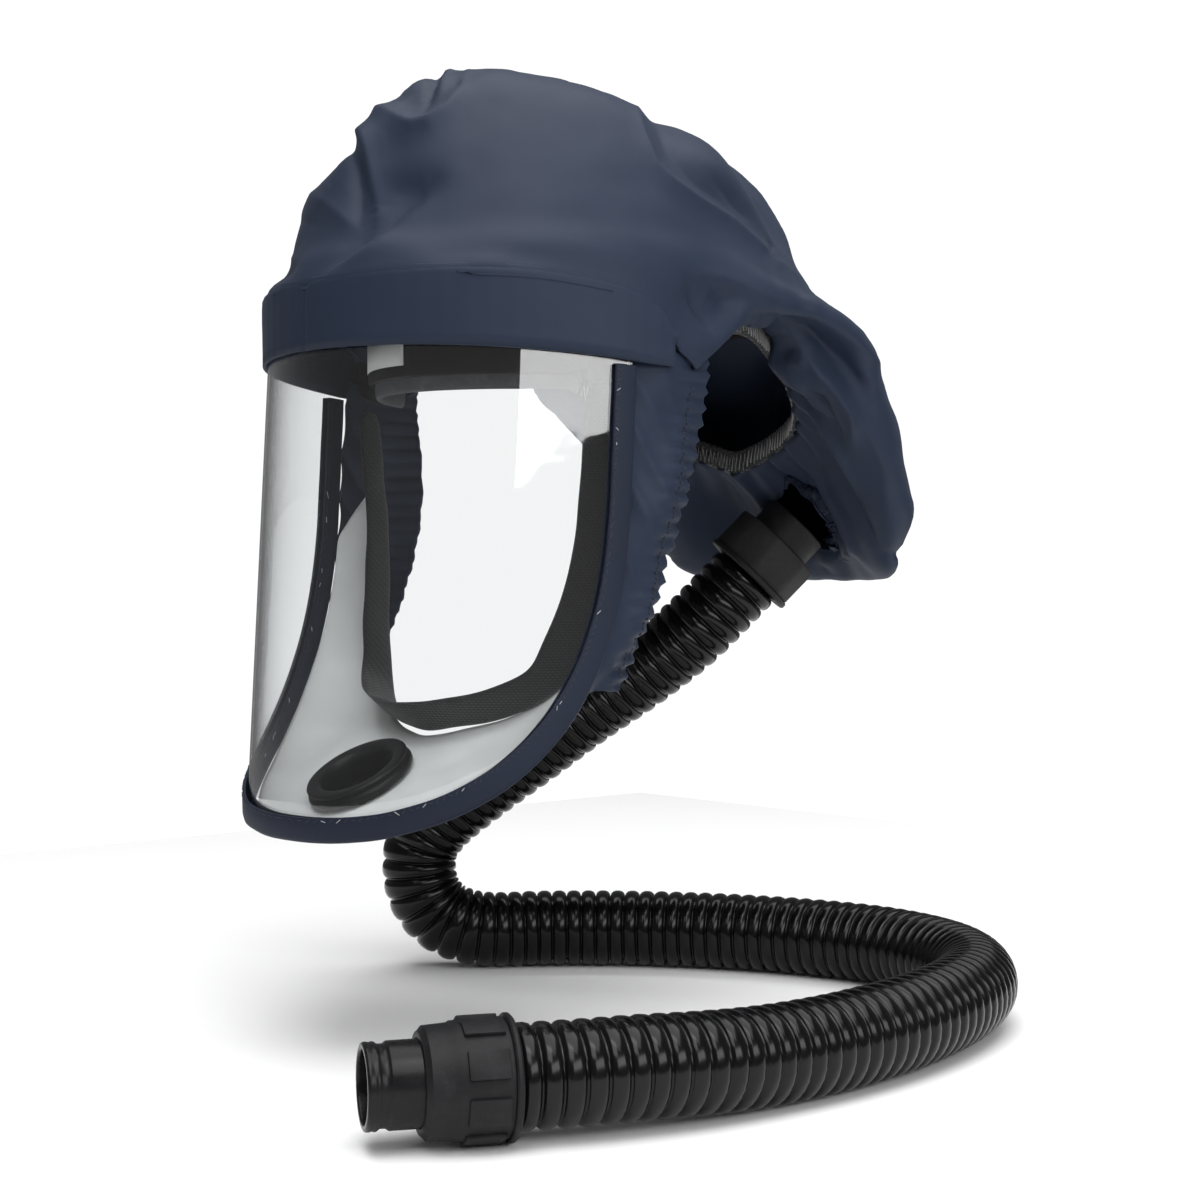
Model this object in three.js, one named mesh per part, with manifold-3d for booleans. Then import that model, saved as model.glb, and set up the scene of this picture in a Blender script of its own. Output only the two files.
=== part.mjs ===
// A loose-fitting respirator hood: a coated-cloth hood with a clear visor, a chin lining with an outlet
// valve, a head harness, and a corrugated breathing hose from the back of the head to its end connector.
// Millimetres, +Z up. The face looks along -Y and the wearer's left is +X. The origin is the centre of the
// headband, where the head carries it.
import * as THREE from "three";
import { mergeVertices } from "three/addons/utils/BufferGeometryUtils.js";
import Module from "manifold-3d";

const wasm = await Module();
wasm.setup();

// Cloth hood
const hoodHalfWidth = 105.5;
const rearReach = 168;
const crownHeight = 116;
const bagDrop = 106;
const clothWall = 1.6;
const crownAxisY = 10;
const gatherDepth = 2.4;
const gatherCount = 18;
const gatherColumn = 0.75;
const gatherSpread = 0.7;
const gatherFrom = 84;
const gatherFull = 100;
const columnPitch = 22;
const seamGap = 0.3;

// Visor and its brow band
const visorRadius = 102;
const visorWall = 1;
const visorCentreY = -40;
const visorSlope = 0.057;
const visorTop = 9;
const visorHalfLength = 142;
const visorCurveTop = -60;
const visorDrop = 142;
const visorCornerPower = 2.6;
const browDrop = 8;
const browSideDrop = 15;
const browWall = 2.2;
const bindingWidth = 8.5;
const bindingFold = 1.4;
const bindingSlack = 0.6;

// Side panels, chin lining and face seal
const panelWall = 1.4;
const panelBulge = 9;
const panelFoldDepth = 1.6;
const panelFoldTurn = 17;
const panelFoldSlant = 5;
const casingFrom = 0.62;
const casingFull = 0.8;
const ruffleDepth = 1.8;
const ruffleCount = 9;
const liningWall = 1.2;
const liningSag = 3;
const liningTuck = 3;
const sealWidth = 17;
const sealWall = 2.4;

// Outlet valve in the chin lining
const valveOuterDiameter = 46;
const valveBoreDiameter = 31;
const valveGrooveDiameter = 37;
const valveLip = 3.2;
const valveHeight = 12;
const valveBelow = 4.2;
const valveRound = 1;
const valveNotch = 1.6;
const valveY = -116;
const valveCoverLap = 1;
const valveCoverDepth = 15;
const valveCoverWall = 1.8;

// Head harness
const bandHalfWidth = 74;
const bandHalfLength = 97;
const bandHeight = 28;
const bandBottom = -16;
const bandWall = 2.4;
const bandRise = 32;
const padHeight = 13;
const padWall = 4;
const padHalfAngle = 58;
const tabHeight = 22;
const tabTaper = 0.35;
const tabWall = 2.5;
const tabTop = 2;
const tabShare = 0.5;
const tabAzimuth = 62;
const crownStrapWidth = 20;
const crownStrapWall = 1.6;
const crownStrapRise = 50;
const elasticWidth = 9;
const elasticWall = 1.4;
const elasticFrom = 92;

// Breathing hose and its two connectors
const hoseDiameter = 37;
const hoseSides = 8;
const hoseSteps = 60;
const inletBore = 26;
const inletNeckDiameter = 33;
const inletNeckLength = 13;
const inletNutFlats = 43;
const inletNutLength = 20;
const inletFlangeDiameter = 47;
const inletFlangeLength = 2.5;
const collarDiameter = 44;
const collarLength = 33;
const collarCone = 11;
const collarLip = 2.5;
const collarInset = 1.2;
const collarMouth = 2.5;
const gripFacets = 8;
const gripLength = 13;
const spigotDiameter = 30;
const spigotBore = 25;
const spigotLength = 19;
const grooveDepth = 0.9;
const grooveFrom = 8;
const grooveTo = 4;
const turnedSides = 24;
const joinOverlap = 0.5;

// Sections of the hood by azimuth from the front. Each pair is a share of the hood's plan reach at that
// azimuth, then a share of the crown's height, or of the rear bag's drop where it is negative.
const hoodSections = [
  { at: 0, inner: [0.955, 0.185], under: [0.975, 0.158], rim: [0.99, 0.163],
    belly: [0.955, 0.28], roll: [0.905, 0.43], notch: [0.862, 0.56],
    shoulder: [0.79, 0.72], crown: [0.68, 0.885], top: [0.5, 1.03] },
  { at: 30, inner: [0.945, 0.195], under: [0.97, 0.168], rim: [0.99, 0.174],
    belly: [0.965, 0.285], roll: [0.915, 0.43], notch: [0.868, 0.56],
    shoulder: [0.785, 0.72], crown: [0.64, 0.885], top: [0.44, 0.975] },
  { at: 47, inner: [0.935, 0.165], under: [0.97, 0.138], rim: [0.99, 0.145],
    belly: [0.985, 0.265], roll: [0.94, 0.415], notch: [0.885, 0.545],
    shoulder: [0.785, 0.71], crown: [0.64, 0.855], top: [0.42, 0.93] },
  { at: 60, inner: [0.9, 0.1], under: [0.96, 0.068], rim: [0.985, 0.075],
    belly: [0.99, 0.23], roll: [0.95, 0.385], notch: [0.885, 0.525],
    shoulder: [0.78, 0.685], crown: [0.63, 0.82], top: [0.405, 0.905] },
  { at: 69, inner: [0.86, -0.09], under: [0.94, -0.135], rim: [0.98, -0.13],
    belly: [0.99, 0.16], roll: [0.955, 0.35], notch: [0.885, 0.51],
    shoulder: [0.78, 0.665], crown: [0.625, 0.79], top: [0.4, 0.89] },
  { at: 77, inner: [0.8, -0.02], under: [0.92, -0.075], rim: [0.98, -0.065],
    belly: [0.99, 0.17], roll: [0.955, 0.33], notch: [0.885, 0.49],
    shoulder: [0.785, 0.65], crown: [0.635, 0.77], top: [0.4, 0.875] },
  { at: 87, inner: [0.78, 0.06], under: [0.89, 0.03], rim: [0.975, 0.055],
    belly: [1, 0.185], roll: [0.955, 0.315], notch: [0.88, 0.465],
    shoulder: [0.785, 0.625], crown: [0.645, 0.755], top: [0.395, 0.865] },
  { at: 103, inner: [0.77, 0.08], under: [0.875, 0.05], rim: [0.995, 0.1],
    belly: [1, 0.19], roll: [0.93, 0.295], notch: [0.85, 0.42],
    shoulder: [0.765, 0.565], crown: [0.625, 0.715], top: [0.39, 0.85] },
  { at: 120, inner: [0.74, 0], under: [0.91, -0.13], rim: [1.05, -0.05],
    belly: [1.065, 0.055], roll: [0.955, 0.175], notch: [0.84, 0.3],
    shoulder: [0.735, 0.46], crown: [0.605, 0.64], top: [0.375, 0.825] },
  { at: 137, inner: [0.72, -0.13], under: [0.92, -0.42], rim: [1.07, -0.47],
    belly: [1.09, -0.22], roll: [0.945, 0.11], notch: [0.77, 0.295],
    shoulder: [0.695, 0.46], crown: [0.575, 0.655], top: [0.36, 0.83] },
  { at: 150, inner: [0.685, -0.25], under: [0.9, -0.8], rim: [1.045, -0.92],
    belly: [1.065, -0.52], roll: [0.945, 0.045], notch: [0.7, 0.305],
    shoulder: [0.655, 0.49], crown: [0.55, 0.69], top: [0.345, 0.84] },
  { at: 165, inner: [0.61, -0.35], under: [0.79, -0.62], rim: [0.955, -1],
    belly: [1, -0.565], roll: [0.9, 0.045], notch: [0.67, 0.32],
    shoulder: [0.615, 0.5], crown: [0.515, 0.695], top: [0.315, 0.845] },
  { at: 180, inner: [0.565, -0.42], under: [0.72, -0.58], rim: [0.9, -0.995],
    belly: [0.985, -0.585], roll: [0.88, 0.045], notch: [0.66, 0.33],
    shoulder: [0.6, 0.505], crown: [0.5, 0.7], top: [0.31, 0.85] },
];
const hoodColumns = ["inner", "under", "rim", "belly", "roll", "notch", "shoulder", "crown", "top"];
const apexShare = 0.935;

// Folds of the hood: each runs between two places, given by azimuth and section column (0 inner to 9 apex),
// with its half width and its depth as shares of the crown's height. A positive depth stands out.
const hoodFolds = [
  { name: "front dart", from: [1, 6.4], to: [8, 4.9], width: 0.045, depth: -0.05 },
  { name: "front crease", from: [3, 3.1], to: [20, 5], width: 0.05, depth: -0.035 },
  { name: "pleat fold", from: [1, 7.9], to: [14, 6.7], width: 0.04, depth: -0.05 },
  { name: "pleat ridge", from: [3, 6.25], to: [19, 6.75], width: 0.05, depth: 0.035 },
  { name: "front hollow", from: [-13, 6.3], to: [-28, 6.5], width: 0.15, depth: -0.075 },
  { name: "brow droop", from: [26, 3.1], to: [68, 2.5], width: 0.06, depth: -0.03 },
  { name: "far brow droop", from: [-34, 3.1], to: [-68, 2.5], width: 0.06, depth: -0.03 },
  { name: "hem dent", from: [78, 3.6], to: [84, 2.5], width: 0.07, depth: -0.04 },
  { name: "far hem dent", from: [-78, 3.6], to: [-84, 2.5], width: 0.07, depth: -0.04 },
  { name: "crown seam", from: [75, 6.3], to: [126, 5.6], width: 0.05, depth: 0.022 },
  { name: "far crown seam", from: [-75, 6.3], to: [-126, 5.6], width: 0.05, depth: 0.022 },
  { name: "rear seam", from: [150, 7.2], to: [178, 5.3], width: 0.05, depth: 0.02 },
  { name: "bag crease", from: [150, 2.3], to: [162, 2.9], width: 0.05, depth: -0.04 },
  { name: "bag ridge", from: [124, 0.8], to: [138, 2.1], width: 0.06, depth: 0.04 },
  { name: "bag valley", from: [133, 0.7], to: [148, 2], width: 0.06, depth: -0.04 },
];

// Left side panel from the brow to its lower point: height as a share of the visor's drop, and the elastic
// rear edge as shares of the hood's half width (x) and rear reach (y).
const panelRows = [
  { row: 0, drop: -0.117, edgeX: 0.93, edgeY: -0.09 },
  { row: 1, drop: -0.29, edgeX: 0.885, edgeY: -0.095 },
  { row: 2, drop: -0.45, edgeX: 0.845, edgeY: -0.112 },
  { row: 3, drop: -0.62, edgeX: 0.815, edgeY: -0.155 },
  { row: 4, drop: -0.78, edgeX: 0.8, edgeY: -0.21 },
  { row: 5, drop: -0.92, edgeX: 0.8, edgeY: -0.27 },
  { row: 6, drop: -1.01, edgeX: 0.82, edgeY: -0.32 },
];

// The face seal's line from under the chin round to the temple: its place as shares of the hood's half width,
// rear reach and visor drop, and which share of the visor's edge the lining reaches from there.
const liningStart = 0.83;
const sealRows = [
  { row: 0, x: 0, y: -0.51, z: -1.15, edge: 0 },
  { row: 1, x: 0.19, y: -0.49, z: -1.135, edge: 0.21 },
  { row: 2, x: 0.38, y: -0.43, z: -1.1, edge: 0.4 },
  { row: 3, x: 0.56, y: -0.36, z: -1.02, edge: 0.56 },
  { row: 4, x: 0.665, y: -0.325, z: -0.87, edge: 0.69 },
  { row: 5, x: 0.73, y: -0.295, z: -0.68, edge: 0.8 },
  { row: 6, x: 0.755, y: -0.29, z: -0.5, edge: 0.89 },
  { row: 7, x: 0.785, y: -0.295, z: -0.31, edge: 0.96 },
  { row: 8, x: 0.8, y: -0.3, z: -0.165, edge: 1 },
];

// Centre line of the hose as it hangs behind the neck and lies on the floor beside it.
const hoseRoute = [
  [1, 110, -98], [-8, 100, -112], [-19, 91, -126], [-38, 78, -144], [-62, 61, -164], [-84, 45, -184],
  [-104, 28, -203], [-119, 14, -220], [-125, 8, -232], [-126, 7, -244], [-124, 9, -257], [-119, 15, -267],
  [-112, 22, -272], [-104, 32, -274.5], [-87, 56, -274.5], [-58, 88, -274.5], [-18, 118, -274.5],
  [22, 137, -274.5], [58, 145, -274.5], [93, 141, -274.5], [121, 127, -274.5], [144, 103, -274.5],
  [160, 70, -274.5], [170, 34, -274.5], [175, 0, -274.5], [176, -32, -274.5], [174, -63, -274],
  [170.5, -91, -272.5], [164.5, -114, -271.3], [156.5, -136, -271], [146, -157, -271],
];

const rad = THREE.MathUtils.degToRad;
const V = (x, y, z) => new THREE.Vector3(x, y, z);

// Value at x between rows sorted by key, on a smooth curve through them.
function between(rows, key, x, pick) {
  let i = 0;
  while (i < rows.length - 2 && rows[i + 1][key] < x) i++;
  const at = (k) => rows[Math.min(Math.max(k, 0), rows.length - 1)];
  const [p0, p1, p2, p3] = [at(i - 1), at(i), at(i + 1), at(i + 2)];
  const span = p2[key] - p1[key];
  const t = THREE.MathUtils.clamp((x - p1[key]) / span, 0, 1);
  const slope = (a, b) => (b[key] === a[key] ? 0 : ((pick(b) - pick(a)) / (b[key] - a[key])) * span);
  const m1 = slope(p0, p2);
  const m2 = slope(p1, p3);
  const t2 = t * t;
  const t3 = t2 * t;
  const rise = 3 * t2 - 2 * t3;
  return (1 - rise) * pick(p1) + (t3 - 2 * t2 + t) * m1 + rise * pick(p2) + (t3 - t2) * m2;
}

// Closed geometry from vertices and triangles, turned round if its faces point inwards.
function closedGeometry(points, triangles) {
  const cross = new THREE.Vector3();
  let volume = 0;
  for (const [a, b, c] of triangles) volume += cross.crossVectors(points[b], points[c]).dot(points[a]);
  const index = triangles.flatMap(([a, b, c]) => (volume < 0 ? [a, c, b] : [a, b, c]));
  const geometry = new THREE.BufferGeometry().setFromPoints(points);
  geometry.setIndex(index);
  return geometry;
}

// Wall of cloth or sheet over a grid of places: place(i, j) is its outer face, and the wall grows to the
// other side. loops closes i on itself, and a row where all the places meet becomes one point.
function sheetGeometry({ place, across, along, wall, loops = false, inward = 1, pole = false }) {
  const columns = loops ? across : across + 1;
  const outer = [];
  for (let j = 0; j <= along; j++) for (let i = 0; i < columns; i++) outer.push(place(i, j));
  const id = (i, j) => j * columns + (loops ? (i + columns) % columns : THREE.MathUtils.clamp(i, 0, across));
  const inner = [];
  for (let j = 0; j <= along; j++) {
    for (let i = 0; i < columns; i++) {
      const du = V().subVectors(outer[id(i + 1, j)], outer[id(i - 1, j)]);
      const dv = V().subVectors(outer[id(i, Math.min(j + 1, along))], outer[id(i, Math.max(j - 1, 0))]);
      const normal = pole && j === along ? V(0, 0, inward) : V().crossVectors(du, dv).normalize();
      inner.push(outer[id(i, j)].clone().addScaledVector(normal, -inward * wall));
    }
  }
  const points = [...outer, ...inner];
  const n = outer.length;
  const triangles = [];
  const quad = (a, b, c, d) => triangles.push([a, b, c], [a, c, d]);
  const lastColumn = loops ? columns : columns - 1;
  for (let j = 0; j < along; j++) {
    for (let i = 0; i < lastColumn; i++) {
      const corners = [id(i, j), id(i + 1, j), id(i + 1, j + 1), id(i, j + 1)];
      if (pole && j === along - 1) {
        const top = id(0, along);
        triangles.push([corners[0], corners[1], top], [corners[1] + n, corners[0] + n, top + n]);
      } else {
        quad(...corners);
        quad(...corners.reverse().map((k) => k + n));
      }
    }
  }
  for (let i = 0; i < lastColumn; i++) {
    quad(id(i + 1, 0), id(i, 0), id(i, 0) + n, id(i + 1, 0) + n);
    if (!pole) quad(id(i, along), id(i + 1, along), id(i + 1, along) + n, id(i, along) + n);
  }
  if (!loops) {
    for (let j = 0; j < along; j++) {
      quad(id(0, j), id(0, j + 1), id(0, j + 1) + n, id(0, j) + n);
      quad(id(across, j + 1), id(across, j), id(across, j) + n, id(across, j + 1) + n);
    }
  }
  return closedGeometry(points, triangles);
}

// Solid swept by a section of places: ring(i) gives the section's points at step i.
function sweepGeometry(ring, steps, loops = false) {
  const rings = Array.from({ length: loops ? steps : steps + 1 }, (_, i) => ring(i));
  const sides = rings[0].length;
  const points = rings.flat();
  const id = (i, k) => (i % rings.length) * sides + ((k + sides) % sides);
  const triangles = [];
  for (let i = 0; i < steps; i++) {
    for (let k = 0; k < sides; k++) {
      triangles.push([id(i, k), id(i, k + 1), id(i + 1, k + 1)], [id(i, k), id(i + 1, k + 1), id(i + 1, k)]);
    }
  }
  if (!loops) {
    const flat = THREE.ShapeUtils.triangulateShape(flattened(rings[0]), []);
    for (const [a, b, c] of flat) triangles.push([id(0, a), id(0, c), id(0, b)]);
    for (const [a, b, c] of flat) triangles.push([id(steps, a), id(steps, b), id(steps, c)]);
  }
  return closedGeometry(points, triangles);
}

// A planar section in its own plane, so that it can be triangulated.
function flattened(points) {
  const u = V().subVectors(points[1], points[0]).normalize();
  let normal = V();
  const spokes = points.slice(1).map((p) => V().subVectors(p, points[0]));
  for (let k = 1; k < spokes.length; k++) normal.add(V().crossVectors(spokes[k - 1], spokes[k]));
  normal = normal.normalize();
  const v = V().crossVectors(normal, u);
  return points.map((p) => {
    const away = V().subVectors(p, points[0]);
    return new THREE.Vector2(away.dot(u), away.dot(v));
  });
}

// A closed mesh as a solid that can be cut and joined, and back.
function solidOf(geometry) {
  const bare = new THREE.BufferGeometry().setAttribute("position", geometry.getAttribute("position"));
  bare.setIndex(geometry.index);
  const merged = mergeVertices(bare, 1e-3);
  const triVerts = new Uint32Array(merged.index.array);
  const vertProperties = merged.attributes.position.array;
  return new wasm.Manifold(new wasm.Mesh({ numProp: 3, vertProperties, triVerts }));
}

function geometryOf(solid) {
  const mesh = solid.getMesh();
  const places = new Float32Array(mesh.numVert * 3);
  for (let i = 0; i < mesh.numVert; i++) {
    places.set(mesh.vertProperties.subarray(i * mesh.numProp, i * mesh.numProp + 3), i * 3);
  }
  const geometry = new THREE.BufferGeometry().setAttribute("position", new THREE.BufferAttribute(places, 3));
  return geometry.setIndex(new THREE.BufferAttribute(mesh.triVerts, 1));
}

function cut(geometry, ...tools) {
  return geometryOf(tools.reduce((solid, tool) => solid.subtract(solidOf(tool)), solidOf(geometry)));
}

// Turned solid from a closed profile of [radius, height] pairs, placed along an axis.
function turned(profile, sides, centre, axis) {
  const points = [...profile, profile[0]].map(([r, h]) => new THREE.Vector2(r, h));
  const geometry = new THREE.LatheGeometry(points, sides);
  geometry.deleteAttribute("normal");
  geometry.deleteAttribute("uv");
  geometry.applyQuaternion(new THREE.Quaternion().setFromUnitVectors(V(0, 1, 0), axis));
  geometry.translate(centre.x, centre.y, centre.z);
  const merged = mergeVertices(geometry, 1e-3);
  const places = merged.attributes.position;
  const vertices = Array.from({ length: places.count }, (_, i) => V().fromBufferAttribute(places, i));
  const index = merged.index.array;
  const triangles = [];
  for (let i = 0; i < index.length; i += 3) {
    const t = [index[i], index[i + 1], index[i + 2]];
    if (new Set(t).size === 3) triangles.push(t);
  }
  return closedGeometry(vertices, triangles);
}

// Plan of the hood: how far its hem lies from the crown's axis at an azimuth.
const browRadius = visorRadius + visorWall / 2 + seamGap + browWall;
function planReach(azimuth) {
  const a = Math.abs(((azimuth + 540) % 360) - 180);
  const [s, c] = [Math.sin(rad(a)), Math.cos(rad(a))];
  if (a >= 90) return 1 / Math.hypot(s / hoodHalfWidth, c / rearReach);
  const offset = crownAxisY - visorCentreY;
  const widest = THREE.MathUtils.radToDeg(Math.atan2(browRadius, offset));
  if (a <= widest) return offset * c + Math.sqrt(browRadius ** 2 - (offset * s) ** 2);
  return THREE.MathUtils.lerp(browRadius, hoodHalfWidth, (a - widest) / (90 - widest)) / s;
}

const heightOf = (share) => share * (share < 0 ? bagDrop : crownHeight);

// The hood's section at an azimuth, one place for each column and the apex.
function hoodSection(azimuth) {
  const a = Math.abs(((azimuth + 540) % 360) - 180);
  const reach = planReach(a);
  const [s, c] = [Math.sin(rad(azimuth)), Math.cos(rad(azimuth))];
  const places = hoodColumns.map((column) => {
    const r = reach * between(hoodSections, "at", a, (row) => row[column][0]);
    const z = heightOf(between(hoodSections, "at", a, (row) => row[column][1]));
    return V(r * s, crownAxisY - r * c, z);
  });
  places.push(V(0, crownAxisY, heightOf(apexShare)));
  return places;
}

// How far the folds and the gathers move the cloth, at an azimuth and a column.
function foldDepth(azimuth, column) {
  let depth = 0;
  for (const fold of hoodFolds) {
    const degree = rad(1) * planReach(fold.from[0]);
    const from = ([a, c]) => new THREE.Vector2((a - fold.from[0]) * degree, (c - fold.from[1]) * columnPitch);
    const along = from(fold.to);
    const here = from([azimuth, column]);
    const share = THREE.MathUtils.clamp(here.dot(along) / along.lengthSq(), 0, 1);
    const away = here.sub(along.multiplyScalar(share)).length() / (fold.width * crownHeight);
    depth += fold.depth * crownHeight * Math.exp(-away * away);
  }
  const rear = THREE.MathUtils.smoothstep(Math.abs(azimuth), gatherFrom, gatherFull);
  const near = Math.exp(-(((column - gatherColumn) / gatherSpread) ** 2));
  return depth + gatherDepth * rear * near * Math.cos(rad(azimuth * gatherCount));
}

const hoodTurns = 66;
const hoodRows = [0, 0.5, 1, 1.5, 2, 2.4, 3, 3.5, 4, 4.5, 5, 5.5, 6, 6.5, 7, 7.5, 8.1, 9];

// The hood's outer face at an azimuth and a column, with its folds.
function hoodPlace(azimuth, column, curve) {
  const last = hoodColumns.length;
  const p = curve.getPoint(column / last);
  if (column >= last) return p;
  const along = curve.getTangent(column / last);
  const round = V(Math.cos(rad(azimuth)), Math.sin(rad(azimuth)), 0);
  const normal = V().crossVectors(round, along).normalize();
  return p.addScaledVector(normal, foldDepth(azimuth, column));
}

const hoodCurve = (azimuth) => new THREE.CatmullRomCurve3(hoodSection(azimuth), false, "centripetal");

function hoodGeometry() {
  const curves = Array.from({ length: hoodTurns }, (_, i) => {
    const azimuth = (i * 360) / hoodTurns - 180;
    return { azimuth, curve: hoodCurve(azimuth) };
  });
  const place = (i, j) => {
    const { azimuth, curve } = curves[(i + hoodTurns) % hoodTurns];
    return hoodPlace(azimuth, hoodRows[j], curve);
  };
  const along = hoodRows.length - 1;
  return sheetGeometry({ place, across: hoodTurns, along, wall: clothWall, loops: true, pole: true });
}

// Visor: place on its middle face, s mm round from the centre line, at height z.
function visorPlace(s, z, out = 0) {
  const turn = s / visorRadius;
  const centreY = visorCentreY + visorSlope * (z + browDrop);
  const r = visorRadius + out;
  return V(r * Math.sin(turn), centreY - r * Math.cos(turn), z);
}

// The visor's lower edge as [s, z] at a share from -1 (right) by 0 (bottom) to 1 (left).
function visorEdge(share) {
  const turn = (Math.abs(share) * Math.PI) / 2;
  const power = 2 / visorCornerPower;
  const s = Math.sign(share) * visorHalfLength * Math.sin(turn) ** power;
  return [s, visorCurveTop - visorDrop * Math.max(Math.cos(turn), 0) ** power];
}

function visorGeometry() {
  const across = 32;
  const along = 3;
  const place = (i, j) => {
    const [s, z] = visorEdge((2 * i) / across - 1);
    return visorPlace(s, THREE.MathUtils.lerp(visorTop, z, j / along), -visorWall / 2);
  };
  return sheetGeometry({ place, across, along, wall: visorWall });
}

// The binding's line on the visor's edge, from the brow down, round and up again, with its frame.
const bindingTop = -browSideDrop - 1;
function bindingFrame(share) {
  const place = (w) => {
    const side = Math.abs(w) - 1;
    if (side <= 0) return visorPlace(...visorEdge(w));
    return visorPlace(Math.sign(w) * visorHalfLength, visorCurveTop + side * (bindingTop - visorCurveTop));
  };
  const straight = 0.12;
  const side = Math.min(share, 1 - share) / straight - 2;
  const w = side < -1 ? side * (share < 0.5 ? 1 : -1) : (2 * share - 1) / (1 - 2 * straight);
  const step = 1e-3;
  const tangent = V().subVectors(place(Math.min(w + step, 2)), place(Math.max(w - step, -2))).normalize();
  const p = place(w);
  const centreY = visorCentreY + visorSlope * (p.z + browDrop);
  const normal = V(p.x, p.y - centreY, 0).normalize();
  return { p, normal, away: V().crossVectors(tangent, normal).normalize() };
}

const slotHalf = visorWall / 2 + bindingSlack;
function bindingGeometry() {
  const steps = 42;
  const out = slotHalf + bindingFold;
  const low = seamGap - bindingWidth;
  const high = seamGap + bindingFold;
  const half = [[out, high], [out, low], [slotHalf, low], [slotHalf, seamGap]];
  const profile = [...half, ...half.map(([n, e]) => [-n, e]).reverse()];
  return sweepGeometry((i) => {
    const { p, normal, away } = bindingFrame(i / steps);
    return profile.map(([n, e]) => p.clone().addScaledVector(normal, n).addScaledVector(away, e));
  }, steps);
}

// Height of the brow band's lower edge, a little lower at the sides than in front.
function browBottom(azimuth) {
  const turn = Math.min(Math.abs(azimuth) / 60, 1);
  return -THREE.MathUtils.lerp(browDrop, browSideDrop, turn * turn);
}

const browEnd = 65;
function browBandGeometry() {
  const across = 36;
  const along = 1;
  const place = (i, j) => {
    const azimuth = THREE.MathUtils.lerp(-browEnd, browEnd, i / across);
    const curve = hoodCurve(azimuth);
    const hem = [0.5, 1, 1.5, 2].map((column) => hoodPlace(azimuth, column, curve).z);
    const top = Math.min(...hem) - 2 * seamGap;
    const low = browBottom(azimuth);
    const z = THREE.MathUtils.lerp(low, Math.max(top, low + browWall), j / along);
    const r = planReach(azimuth);
    return V(r * Math.sin(rad(azimuth)), crownAxisY - r * Math.cos(rad(azimuth)), z);
  };
  return sheetGeometry({ place, across, along, wall: browWall });
}

// Side panel between the binding and its elastic rear edge; side is 1 on the left and -1 on the right.
function sidePanelGeometry(side) {
  const across = 8;
  const along = 17;
  const front = (z) => {
    const below = Math.min(1, Math.max(0, (visorCurveTop - z) / visorDrop));
    const s = visorHalfLength * (1 - below ** visorCornerPower) ** (1 / visorCornerPower);
    return visorPlace(s + bindingFold + 2 * seamGap, z, -slotHalf - bindingFold - seamGap - panelWall);
  };
  const place = (i, j) => {
    const u = i / across;
    const v = j / along;
    const row = v * (panelRows.length - 1);
    const pick = (key) => between(panelRows, "row", row, (r) => r[key]);
    const z = visorDrop * pick("drop");
    const a = front(z);
    const b = V(hoodHalfWidth * pick("edgeX"), rearReach * pick("edgeY"), z);
    const outward = V(b.y - a.y, a.x - b.x, 0).normalize();
    const p = a.clone().lerp(b, u);
    const casing = THREE.MathUtils.smoothstep(u, casingFrom, casingFull);
    const held = Math.sin(Math.PI * Math.min(u / casingFull, 1));
    const folds = panelFoldDepth * Math.sin(v * panelFoldTurn + u * panelFoldSlant) * held;
    const bulge = panelBulge * Math.sin(Math.PI * u) * Math.sin(Math.PI * THREE.MathUtils.lerp(0.1, 1, v));
    const ruffle = ruffleDepth * casing * Math.sin(v * 2 * Math.PI * ruffleCount);
    p.addScaledVector(outward, bulge + folds + ruffle);
    p.x *= side;
    return p;
  };
  return sheetGeometry({ place, across, along, wall: panelWall, inward: side });
}

// Lining: from just inside the visor's edge to the face seal. The share runs from right to left.
function sealPlace(share) {
  const w = Math.abs(share) * (sealRows.length - 1);
  const pick = (key) => between(sealRows, "row", w, (r) => r[key]);
  return {
    p: V(Math.sign(share) * hoodHalfWidth * pick("x"), rearReach * pick("y"), visorDrop * pick("z")),
    edge: Math.sign(share) * pick("edge"),
  };
}

function loosePlace(share, u) {
  const { p, edge } = sealPlace(share);
  const [s, z] = visorEdge(edge);
  const a = visorPlace(s, z + liningTuck, -slotHalf - bindingFold - seamGap - liningWall);
  const sag = liningSag * Math.sin(Math.PI * u);
  return a.lerp(p, u).add(V(Math.sign(share) * sag * Math.abs(share), 0, -sag * (1 - Math.abs(share))));
}

const valveShare = 0.52;
function valveFrame() {
  const before = loosePlace(0, valveShare - 0.15);
  const after = loosePlace(0, valveShare + 0.15);
  const slope = V().subVectors(after, before).normalize();
  const axis = V().crossVectors(V(1, 0, 0), slope).normalize();
  if (axis.z < 0) axis.negate();
  const middle = loosePlace(0, valveShare);
  return { centre: V(0, valveY, middle.z + ((valveY - middle.y) * slope.z) / slope.y), axis };
}

// The lining lies flat round the valve.
const valveSeat = valveFrame();
function liningPlace(share, u) {
  const p = loosePlace(share, u);
  const off = p.clone().sub(valveSeat.centre);
  const lift = off.dot(valveSeat.axis);
  const away = off.addScaledVector(valveSeat.axis, -lift).length();
  const hold = 1 - THREE.MathUtils.smoothstep(away, valveOuterDiameter * 0.75, valveOuterDiameter * 1.25);
  return p.addScaledVector(valveSeat.axis, -lift * hold);
}

function chinLiningGeometry() {
  const across = 30;
  const along = 6;
  const place = (i, j) => liningPlace(liningStart * ((2 * i) / across - 1), j / along);
  const sheet = sheetGeometry({ place, across, along, wall: liningWall });
  const { centre, axis } = valveSeat;
  const r = valveGrooveDiameter / 2 + seamGap;
  const hole = [[0, -valveHeight], [r, -valveHeight], [r, valveHeight], [0, valveHeight]];
  return cut(sheet, turned(hole, turnedSides, centre, axis));
}

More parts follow.
